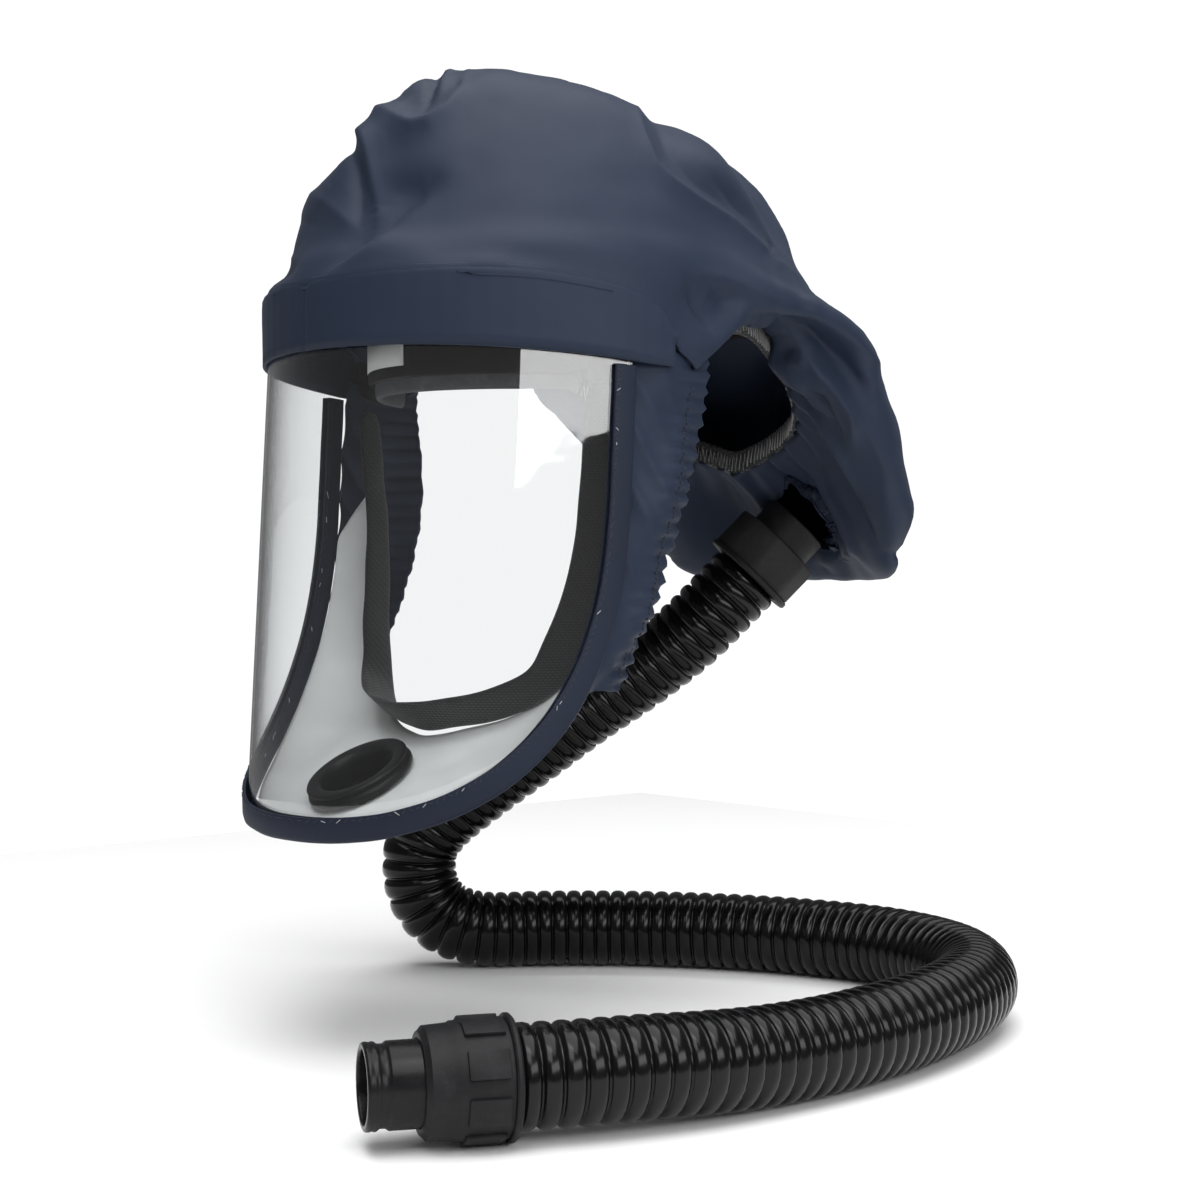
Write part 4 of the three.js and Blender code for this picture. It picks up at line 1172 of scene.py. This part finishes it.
@dataclass
class BrowBand:
    """Turned-up cloth band over the visor, with its top edge turned in or under the hood's hem."""

    wall: float = 0.0018
    tuck_in: float = 0.0042
    tuck_up: float = 0.0012
    under_in: float = 0.0009
    under_on: float = 0.0032
    seam_azimuth: float = 0.0

    def build(self, looks: Looks) -> bpy.types.Object:
        """The band: the CAD sheet rounded, its upper edge tucked in, and a seam over the visor's middle."""
        bm = outer_sheet("brow_band", Vector((0, -1, 0)), 45)
        self.tuck(bm)
        front_out(bm)
        bmesh.ops.subdivide_edges(bm, edges=bm.edges, cuts=2, use_grid_fill=True)
        bm = rounded_full(bm, 1)
        bm.normal_update()
        for vert in bm.verts:
            p, n = vert.co, vert.normal
            seam = math.exp(-(((azimuth_of(p) - self.seam_azimuth) / 0.7) ** 2))
            roll = math.exp(-(((p.z + 0.0065) / 0.0016) ** 2))
            soft = 0.0004 * noise.noise(p * 30) * smoothstep(0.014, 0.006, p.z)
            vert.co = p + n * (soft - 0.0008 * seam - 0.0003 * roll)
        made = put(bm, "brow_band_cloth", [looks.cloth], ["brow_band"])
        walled(made, self.wall)
        return made

    def tuck(self, bm: bmesh.types.BMesh) -> None:
        """Carries the band's upper edge and ends on: turned in on the right, else under the hood's hem."""
        outward: dict[bmesh.types.BMVert, Vector] = {}
        edges = []
        for edge in (e for e in bm.edges if e.is_boundary):
            start, end = (v.co for v in edge.verts)
            along = (end - start).normalized()
            away = (start + end) / 2 - edge.link_faces[0].calc_center_median()
            away = (away - along * away.dot(along)).normalized()
            if away.z > -0.5 and start.z > -0.011 and end.z > -0.011:
                edges.append(edge)
                for vert in edge.verts:
                    outward[vert] = outward.get(vert, Vector()) + away
        places = {tuple(v.co): way.normalized() for v, way in outward.items()}
        for vert in verts_in(bmesh.ops.extrude_edge_only(bm, edges=edges)["geom"]):
            way = places[tuple(vert.co)]
            inward = Vector((-vert.co.x, BROW_CENTRE_Y - vert.co.y, 0)).normalized()
            side = smoothstep(*FLUSH_FROM, azimuth_of(vert.co))
            turned_in = inward * self.tuck_in + Vector((0, 0, self.tuck_up))
            vert.co += turned_in.lerp(inward * self.under_in + way * self.under_on, side)


@dataclass(frozen=True)
class VisorForm:
    """The bent sheet that the visor and its binding follow, in metres."""

    radius: float = 0.102
    centre_y: float = BROW_CENTRE_Y
    slope: float = 0.057
    slope_from: float = 0.008
    top: float = 0.009
    half_length: float = 0.142
    curve_top: float = -0.060
    drop: float = 0.142
    corner_power: float = 2.6
    binding_top: float = -0.016

    def spot(self, s: float, z: float, out: float = 0.0) -> Vector:
        """A place s metres round from the middle, at height z, standing out by out."""
        turn = s / self.radius
        middle = self.centre_y + self.slope * (z + self.slope_from)
        r = self.radius + out
        return Vector((r * math.sin(turn), middle - r * math.cos(turn), z))

    def edge(self, share: float) -> tuple[float, float]:
        """The lower edge at a share from -1 (right) by 0 (bottom) to 1 (left)."""
        turn = abs(share) * math.pi / 2
        power = 2 / self.corner_power
        s = math.copysign(self.half_length * math.sin(turn) ** power, share)
        return s, self.curve_top - self.drop * max(math.cos(turn), 0.0) ** power

    def rim(self, share: float) -> Vector:
        """A place on the edge at a share from -2 to 2, of which 1 to 2 is the straight side above."""
        side = abs(share) - 1
        if side <= 0:
            return self.spot(*self.edge(share))
        return self.spot(math.copysign(self.half_length, share),
                         self.curve_top + side * (self.binding_top - self.curve_top))

    def rim_frame(self, share: float) -> tuple[Vector, Vector, Vector]:
        """A place on the edge, the sheet's outward direction and the direction off its edge."""
        step = 1e-3
        along = (self.rim(min(share + step, 2)) - self.rim(max(share - step, -2))).normalized()
        p = self.rim(share)
        middle = self.centre_y + self.slope * (p.z + self.slope_from)
        out = Vector((p.x, p.y - middle, 0)).normalized()
        return p, out, along.cross(out).normalized()


@dataclass
class Visor:
    """Clear sheet bent round the face, its folded cloth binding and the binding's stitches."""

    form: VisorForm = VisorForm()
    wall: float = 0.001
    across: int = 96
    along: int = 14
    tape_width: float = 0.0085
    tape_fold: float = 0.0014
    gap: float = 0.0003
    slack: float = 0.0006
    tape_steps: int = 150
    straight: float = 0.12
    stitches: int = 190

    def build_sheet(self, looks: Looks) -> bpy.types.Object:
        """The clear sheet."""
        bm = bmesh.new()
        bmesh.ops.create_grid(bm, x_segments=self.across, y_segments=self.along, size=1)
        for vert in bm.verts:
            s, z = self.form.edge(vert.co.x * 0.9999)
            share = (1 - vert.co.y) / 2
            vert.co = self.form.spot(s, lerp(self.form.top, z, share), self.wall / 2)
        bmesh.ops.remove_doubles(bm, verts=bm.verts, dist=1e-6)
        front_out(bm)
        made = put(bm, "visor_sheet", [looks.clear], ["visor"])
        walled(made, self.wall)
        return made

    def tape_share(self, share: float) -> float:
        """The edge's share from -2 to 2 at a share of the tape's length."""
        side = min(share, 1 - share) / self.straight - 2
        if side < -1:
            return side * (1 if share < 0.5 else -1)
        return (2 * share - 1) / (1 - 2 * self.straight)

    def tape_profile(self) -> list[tuple[float, float]]:
        """The folded tape's section as (out of the sheet, off its edge), rounded at its fold."""
        half = self.wall / 2 + self.slack
        out = half + self.tape_fold
        top = self.gap + self.tape_fold
        low = self.gap - self.tape_width
        outer = [(out * 0.94, low), (out, low + 0.0008), (out * 1.04, low * 0.5), (out, 0.0),
                 (out * 0.88, top * 0.62), (out * 0.5, top * 0.97)]
        inner = [(-x, y) for x, y in reversed(outer)]
        slot = [(-half, low), (-half, self.gap), (half, self.gap), (half, low)]
        return outer + inner + slot

    def build_tape(self, looks: Looks) -> bpy.types.Object:
        """The binding with short stitches along its inner side."""
        rings = []
        for i in range(self.tape_steps + 1):
            share = i / self.tape_steps
            p, out, off = self.form.rim_frame(self.tape_share(share))
            slack = 0.00025 * noise.noise(p * 60)
            rings.append(
                [p + out * (x * (1 + 120 * slack)) + off * (y + slack) for x, y in self.tape_profile()]
            )
        bm = swept(rings)
        chance = random.Random(7)
        half = self.wall / 2 + self.slack + self.tape_fold
        for i in range(self.stitches):
            share = (i + 0.5) / self.stitches
            p, out, off = self.form.rim_frame(self.tape_share(share))
            following = self.form.rim_frame(self.tape_share(min(share + 0.55 / self.stitches, 1)))[0]
            lean = off * (0.0009 * chance.uniform(-1, 1))
            low = off * (0.0014 - self.tape_width)
            for side in (-1, 1):
                lift = out * (side * (half * 1.02 + 0.0001))
                stitch = thread_line([p + low + lift - lean, following + low + lift + lean], 0.00022)
                gather_into(bm, stitch, 1 if chance.random() < 0.86 else 2)
        return put(bm, "visor_binding_tape", [looks.binding, looks.dark_thread, looks.white_thread],
                   ["visor_binding"], 70)


@dataclass
class SidePanels:
    """Gathered cloth panels from the binding to their elastic rear edges, with sewn casings."""

    wall: float = 0.0010
    scallops: int = 20
    tuck: float = 0.009
    casing: float = 0.78
    stitches: int = 58

    def build(self, looks: Looks) -> list[bpy.types.Object]:
        """Both panels."""
        made = []
        for label, side in (("left", 1), ("right", -1)):
            node = f"side_panel_{label}"
            bm = outer_sheet(node, Vector((side, 0, 0)), 60)
            low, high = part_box(node)
            self.tuck_top(bm, high.z)
            bm = rounded_full(bm, 2)
            bm.normal_update()
            for vert in bm.verts:
                p, n = vert.co, vert.normal
                v = (high.z - p.z) / (high.z - low.z)
                rear = smoothstep(0.35, 0.9, self.rear_share(p, low, high))
                slant = p.z * 120 + (p.y + 0.1) * 190 + 1.6 * noise.noise(p * 22)
                crest = 1 - abs(math.sin(slant)) ** 0.6
                folds = 0.0026 * crest * (1 - rear) * math.sin(math.pi * min(max(v, 0), 1)) ** 0.4
                ruffle = 0.0011 * rear * math.sin(v * math.tau * self.scallops + 2 * noise.noise(p * 25))
                vert.co += n * (folds + ruffle + 0.0009 * noise.noise(p * 48))
            self.stitch(bm, side, low, high)
            threads = [looks.cloth, looks.black_thread]
            piece = put(bm, f"side_panel_cloth_{label}", threads, [node])
            walled(piece, self.wall)
            made.append(piece)
        return made

    def stitch(self, bm: bmesh.types.BMesh, side: int, low: Vector, high: Vector) -> None:
        """Sews a dashed line of thread along the casing's front edge."""
        cloth = BVHTree.FromBMesh(bm)
        places = []
        for k in range(self.stitches * 2):
            z = lerp(high.z - 0.006, low.z + 0.006, k / (self.stitches * 2 - 1))
            y = lerp(*self.edges((z - low.z) / (high.z - low.z)), self.casing)
            hit = cloth.ray_cast(Vector((side * 0.3, y, z)), Vector((-side, 0, 0)), 0.3)
            places.append(None if hit[0] is None else hit[0] + Vector((side * 0.0002, 0, 0)))
        for start, end in zip(places[::2], places[1::2]):
            if start is not None and end is not None:
                gather_into(bm, thread_line([start, end], 0.0003), 1)

    def tuck_top(self, bm: bmesh.types.BMesh, top: float) -> None:
        """Extends the panel's top edge upwards and inwards behind the brow."""
        edges = [e for e in bm.edges if e.is_boundary and all(v.co.z > top - 0.004 for v in e.verts)]
        for vert in verts_in(bmesh.ops.extrude_edge_only(bm, edges=edges)["geom"]):
            vert.co += Vector((-math.copysign(0.0015, vert.co.x), 0, self.tuck))
        bmesh.ops.recalc_face_normals(bm, faces=bm.faces)
        widest = max(bm.faces, key=lambda f: abs(f.calc_center_median().x))
        if widest.normal.x * widest.calc_center_median().x < 0:
            bmesh.ops.reverse_faces(bm, faces=bm.faces)

    def rear_share(self, p: Vector, low: Vector, high: Vector) -> float:
        """How near a place is to the panel's rear edge, from 0 at the binding to 1."""
        front, rear = self.edges((p.z - low.z) / (high.z - low.z))
        return min(max((p.y - front) / (rear - front), 0.0), 1.0)

    def edges(self, share: float) -> tuple[float, float]:
        """Where the panel's front and rear edges lie along Y at a share of its height."""
        front = lerp(-0.098, -0.056, min(1.0, 0.25 + 0.75 * share))
        return front, lerp(-0.052, -0.0155, min(1.0, max(0.0, share)) ** 0.8)


@dataclass
class ChinLining:
    """Pale lining from the visor's edge to the neck."""

    wall: float = 0.0009

    def build(self, looks: Looks) -> bpy.types.Object:
        """The lining: the CAD sheet rounded and crumpled, flat round its valve."""
        bm = rounded_full(outer_sheet("chin_lining", Vector((0, 0, -1)), 50), 2)
        bm.normal_update()
        hole = OutletValve().foot
        for vert in bm.verts:
            p = vert.co
            clear = smoothstep(0.026, 0.036, (p - hole).length)
            vert.co += vert.normal * (clear * (0.0011 * noise.noise(p * 26) + 0.0005 * noise.noise(p * 70)))
        made = put(bm, "chin_lining_cloth", [looks.lining], ["chin_lining"])
        walled(made, self.wall)
        return made


@dataclass
class FaceSeal:
    """Black knit strip along the jaw and under the chin."""

    def build(self, looks: Looks) -> bpy.types.Object:
        """The strip, rounded and a little uneven."""
        bm = copied("face_seal")
        paired(bm)
        bm = rounded_full(bm, 2)
        bm.normal_update()
        for vert in bm.verts:
            vert.co += vert.normal * (0.0007 * noise.noise(vert.co * 55))
        return put(bm, "face_seal_knit", [looks.knit], ["face_seal"])


@dataclass
class OutletValve:
    """Two-lipped rubber ring in the lining with a domed cover below."""

    foot: Vector = field(default_factory=lambda: Vector((0.0, -0.116, -0.18343)))
    axis: Vector = field(default_factory=lambda: Vector((0.0, -0.498, 0.8672)))
    outer: float = 0.023
    bore: float = 0.0155
    groove: float = 0.0185
    half_gap: float = 0.00135
    sides: int = 64

    def build(self, looks: Looks) -> list[bpy.types.Object]:
        """The ring and the cover."""
        o, b, g, h = self.outer, self.bore, self.groove, self.half_gap
        ring = [
            (b, -0.0036), (b + 0.0006, -0.0042), (o - 0.0012, -0.0042), (o - 0.0003, -0.0038),
            (o, -0.003), (o, -h - 0.0004), (o - 0.0004, -h), (g, -h), (g, h), (o - 0.0005, h),
            (o, h + 0.0006), (o + 0.0001, h + 0.0018), (o - 0.0002, h + 0.0028), (o - 0.0009, h + 0.0034),
            (o - 0.0016, h + 0.0038), (o - 0.0016, h + 0.0044), (o - 0.0009, h + 0.005),
            (o - 0.0007, h + 0.0056), (o - 0.0011, h + 0.0062), (o - 0.0021, h + 0.0064),
            (b + 0.0024, h + 0.0062), (b + 0.0009, h + 0.0057), (b + 0.0002, h + 0.0046), (b, h + 0.003),
        ]
        rim = o + 0.001
        top = -0.0045
        cover = [
            (0, top - 0.015), (rim * 0.3, top - 0.0146), (rim * 0.55, top - 0.0132),
            (rim * 0.8, top - 0.0098), (rim * 0.95, top - 0.0055), (rim, top - 0.003),
            (rim, top - 0.0005), (rim - 0.0004, top), (rim - 0.0014, top), (rim - 0.0018, top - 0.0006),
            (rim - 0.0019, top - 0.0034), (rim * 0.75, top - 0.0086), (rim * 0.5, top - 0.0118),
            (rim * 0.25, top - 0.013), (0, top - 0.0132),
        ]
        at = seat(self.foot, self.axis)
        shapes = (("outlet_ring", "valve_ring", ring), ("outlet_cover", "valve_cover", cover))
        return [
            put(turned(profile, self.sides, at), name, [looks.rubber], [node], 50)
            for name, node, profile in shapes
        ]


# The harness


@dataclass
class Harness:
    """Headband with its blank label, sweat pad, temple tabs and the strap over the head."""

    label_turn: float = -13.0
    label_reach: float = 17.0
    label_z: float = -0.0045
    label_half_height: float = 0.0065
    label_wall: float = 0.0003
    label_lift: float = 0.00012
    half_width: float = 0.0764
    half_length: float = 0.0994

    def softened(self, node: str, name: str, look: bpy.types.Material, width: float) -> bpy.types.Object:
        """A CAD node's copy with rounded edges.

        Args:
            node: The CAD node.
            name: The new piece's name.
            look: Its material.
            width: The width of the rounding in metres.

        Returns:
            The piece.
        """
        bm = copied(node)
        bmesh.ops.dissolve_limit(bm, angle_limit=math.radians(1), verts=bm.verts, edges=bm.edges)
        sharp = [e for e in bm.edges if len(e.link_faces) == 2 and e.calc_face_angle(0) > math.radians(40)]
        bevelled(bm, sharp, width, True)
        return put(bm, name, [look], [node], 35)

    def build(self, looks: Looks) -> list[bpy.types.Object]:
        """The harness's pieces."""
        made = [
            self.softened("headband", "harness_band", looks.band, 0.0006),
            self.softened("crown_strap", "harness_strap", looks.band, 0.0004),
        ]
        for label in ("left", "right"):
            made.append(self.softened(f"temple_tab_{label}", f"temple_piece_{label}", looks.tab, 0.0006))
        bm = copied("brow_pad")
        paired(bm)
        pad = put(rounded(bm, 2), "sweat_pad", [looks.foam], ["brow_pad"])
        made.append(pad)
        made.append(self.label(looks))
        return made

    def label(self, looks: Looks) -> bpy.types.Object:
        """A blank pale label on the front of the headband."""
        bm = bmesh.new()
        bmesh.ops.create_grid(bm, x_segments=16, y_segments=2, size=1)
        for vert in bm.verts:
            turn = math.radians(self.label_turn + self.label_reach * vert.co.x)
            across = (self.half_width + self.label_lift) * math.sin(turn)
            ahead = (self.half_length + self.label_lift) * math.cos(turn)
            vert.co = Vector((across, -ahead, self.label_z + self.label_half_height * vert.co.y))
        front_out(bm)
        made = put(bm, "headband_label", [looks.label], ())
        walled(made, self.label_wall, 1)
        return made


@dataclass
class RearElastic:
    """Elastic along the rear hem, sewn on with a zigzag of pale thread."""

    steps: int = 260
    from_azimuth: float = 88.0
    centre_y: float = 0.010
    inset: float = 0.16
    thread: float = 0.00042
    lift: float = 0.00035
    heights: tuple[float, float] = (-0.09, 0.05)
    probes: int = 160

    def build(self, looks: Looks) -> bpy.types.Object:
        """The elastic strip with its zigzag stitches on both faces."""
        bm = copied("rear_elastic")
        paired(bm)
        bm = rounded_full(bm, 1)
        strip = BVHTree.FromBMesh(bm)
        lines = [line for outside in (True, False) for line in self.zigzag(strip, outside)]
        for line in lines:
            gather_into(bm, thread_line(line, self.thread), 1)
        return put(bm, "rear_elastic_strip", [looks.knit, looks.grey_thread], ["rear_elastic"])

    def spans(self, strip: BVHTree, azimuth: float) -> tuple[float, float] | None:
        """The strip's lowest and highest height at an azimuth, or None beyond its ends."""
        turn = math.radians(azimuth)
        ahead = Vector((math.sin(turn), -math.cos(turn), 0))
        hits = []
        for k in range(self.probes):
            z = lerp(*self.heights, k / (self.probes - 1))
            if strip.ray_cast(Vector((0, self.centre_y, z)), ahead, 0.2)[0] is not None:
                hits.append(z)
        return (hits[0], hits[-1]) if hits else None

    def zigzag(self, strip: BVHTree, outside: bool) -> list[list[Vector]]:
        """Threads that go to and fro between the strip's edges.

        Args:
            strip: The strip's surface.
            outside: Whether the thread lies on the outer face.

        Returns:
            The threads' points.
        """
        chance = random.Random(11)
        lines: list[list[Vector]] = [[]]
        for k in range(self.steps + 1):
            azimuth = lerp(self.from_azimuth, 360 - self.from_azimuth, k / self.steps)
            span = self.spans(strip, azimuth)
            if span is None:
                lines.append([])
                continue
            share = (self.inset if k % 2 else 1 - self.inset) + chance.uniform(-0.07, 0.07)
            z = lerp(span[0], span[1], share)
            turn = math.radians(azimuth)
            ahead = Vector((math.sin(turn), -math.cos(turn), 0))
            middle = Vector((0, self.centre_y, z))
            hit = strip.ray_cast(middle + ahead * 0.2, -ahead) if outside else strip.ray_cast(middle, ahead)
            if hit[0] is None:
                lines.append([])
                continue
            lines[-1].append(hit[0] + ahead * (self.lift if outside else -self.lift))
        return [line for line in lines if len(line) > 2]


# The connectors


@dataclass
class InletConnector:
    """Eight-sided nut with its flange and neck, where the hose meets the hood."""

    foot: Vector
    axis: Vector
    bore: float = 0.013
    neck: float = 0.0165
    neck_length: float = 0.013
    flats: float = 0.043
    nut_length: float = 0.020
    flange: float = 0.0235
    flange_length: float = 0.0025
    gap: float = 0.0003

    def build(self, looks: Looks) -> bpy.types.Object:
        """The nut with its parts joined on one bore."""
        at = seat(self.foot, self.axis)
        low = self.gap + self.flange_length
        high = low + self.nut_length
        corner = self.flats / 2 / math.cos(math.pi / 8)
        bm = bmesh.new()
        ring = bmesh.ops.create_circle(bm, cap_ends=True, segments=8, radius=corner)["verts"]
        bmesh.ops.translate(bm, vec=(0, 0, low), verts=ring)
        face = bm.faces[:][0]
        top = verts_in(bmesh.ops.extrude_face_region(bm, geom=[face])["geom"])
        bmesh.ops.translate(bm, vec=(0, 0, self.nut_length), verts=top)
        bmesh.ops.recalc_face_normals(bm, faces=bm.faces)
        upright = [e for e in bm.edges if abs(e.verts[0].co.z - e.verts[1].co.z) > 0.01]
        bevelled(bm, upright, 0.0028)
        ends = [e for e in bm.edges if abs(e.verts[0].co.z - e.verts[1].co.z) < 1e-6]
        bevelled(bm, ends, 0.0013)
        bmesh.ops.transform(bm, matrix=at, verts=bm.verts)
        f, n, b = self.flange, self.neck, self.bore
        start = self.gap
        disc = [
            (b, start), (f - 0.0006, start), (f, start + 0.0006), (f, low - 0.0002),
            (f - 0.0006, low + 0.0004), (b, low + 0.0004),
        ]
        end = high + self.neck_length
        throat = [
            (b, high - 0.0006), (n + 0.0008, high - 0.0006), (n, high + 0.0006), (n, end - 0.0008),
            (n - 0.0008, end), (b, end),
        ]
        gather_into(bm, turned(disc, 48, at), 1)
        gather_into(bm, turned(throat, 48, at), 1)
        plastics = [looks.nut, looks.connector]
        return put(bm, "inlet_nut", plastics, ["inlet_connector"], 32)


@dataclass
class EndConnector:
    """Collar with raised grip facets and the hollow spigot on the hose's free end."""

    foot: Vector
    axis: Vector
    bore: float = 0.0153
    outer: float = 0.022
    length: float = 0.033
    shoulder: float = 0.022
    neck: float = 0.0175
    spigot_outer: float = 0.015
    spigot_bore: float = 0.0125
    spigot_length: float = 0.019
    grips: int = 8
    gap: float = 0.0003

    def build_collar(self, looks: Looks) -> bpy.types.Object:
        """The collar: a turned body with its lip, and a band of grip facets."""
        at = seat(self.foot, self.axis)
        b, o, g = self.bore, self.outer, self.gap
        body = [
            (b, g), (o - 0.0008, g), (o, g + 0.0008), (o, 0.0022), (o - 0.0005, 0.0028), (o - 0.0016, 0.0031),
            (o - 0.0016, self.shoulder - 0.0006), (o - 0.0022, self.shoulder + 0.0004),
            (self.neck + 0.0018, self.length - 0.002), (self.neck + 0.0004, self.length - 0.0008),
            (self.neck, self.length - 0.0002), (self.neck - 0.0006, self.length), (b, self.length),
        ]
        bm = turned(body, 72, at)
        for k in range(self.grips):
            middle = math.tau * k / self.grips
            half = math.pi / self.grips * 0.62
            gather_into(bm, self.grip(middle, half, at), 0)
        return put(bm, "end_collar_body", [looks.connector], ["end_collar"], 34)

    def grip(self, middle: float, half: float, at: Matrix) -> bmesh.types.BMesh:
        """One raised grip facet with soft edges.

        Args:
            middle: The facet's direction round the axis, in radians.
            half: Half its angle.
            at: Where the connector goes.

        Returns:
            The facet.
        """
        low, high = 0.0045, self.shoulder - 0.003
        base = self.outer - 0.003
        rise = self.outer - 0.0006
        bm = bmesh.new()
        bmesh.ops.create_cube(bm, size=1)
        for vert in bm.verts:
            turn = middle + half * 2 * vert.co.y
            r = rise / math.cos(half) if vert.co.x > 0 else base
            r = min(r, self.outer + 0.0004)
            vert.co = Vector((r * math.cos(turn), r * math.sin(turn), lerp(low, high, vert.co.z + 0.5)))
        bmesh.ops.recalc_face_normals(bm, faces=bm.faces)
        bevelled(bm, bm.edges[:], 0.0006)
        bmesh.ops.transform(bm, matrix=at, verts=bm.verts)
        return bm

    def build_spigot(self, looks: Looks) -> bpy.types.Object:
        """The smooth hollow end with a ring groove and a rounded rim."""
        o, b = self.spigot_outer, self.spigot_bore
        end = self.length + self.spigot_length
        profile = [
            (b, self.gap), (o, self.gap), (o, end - 0.0086), (o - 0.0003, end - 0.0081),
            (o - 0.0009, end - 0.0074), (o - 0.0009, end - 0.0052), (o - 0.0003, end - 0.0045),
            (o, end - 0.004), (o, end - 0.0034),
            (o - 0.0002, end - 0.003), (o - 0.0002, end - 0.0022), (o, end - 0.0018), (o, end - 0.0008),
            (o - 0.0004, end - 0.0002), (o - 0.0009, end), (b + 0.0005, end), (b + 0.0001, end - 0.0003),
            (b, end - 0.001),
        ]
        bm = turned(profile, 72, seat(self.foot, self.axis))
        return put(bm, "end_spigot_tube", [looks.spigot], ["end_spigot"], 50)


def main() -> None:
    """Builds the stage, then each sub-assembly in order."""
    logging.basicConfig(level=logging.INFO, format="%(message)s")
    view = PhotoView()
    view.camera()
    Studio().build()
    looks = Looks()

    hose = BreathingHose()
    tube = hose.build(looks)
    end = EndConnector(hose.centre.line[-1], hose.centre.ahead(len(hose.centre.line) - 1))
    collar = end.build_collar(looks)
    spigot = end.build_spigot(looks)
    InletConnector(hose.centre.line[0], -hose.centre.ahead(0)).build(looks)

    HoodCloth().build(looks, view)
    BrowBand().build(looks)
    visor = Visor()
    visor.build_sheet(looks)
    visor.build_tape(looks)
    SidePanels().build(looks)
    ChinLining().build(looks)
    FaceSeal().build(looks)
    OutletValve().build(looks)
    Harness().build(looks)
    RearElastic().build(looks)


if __name__ == "__main__":
    main()
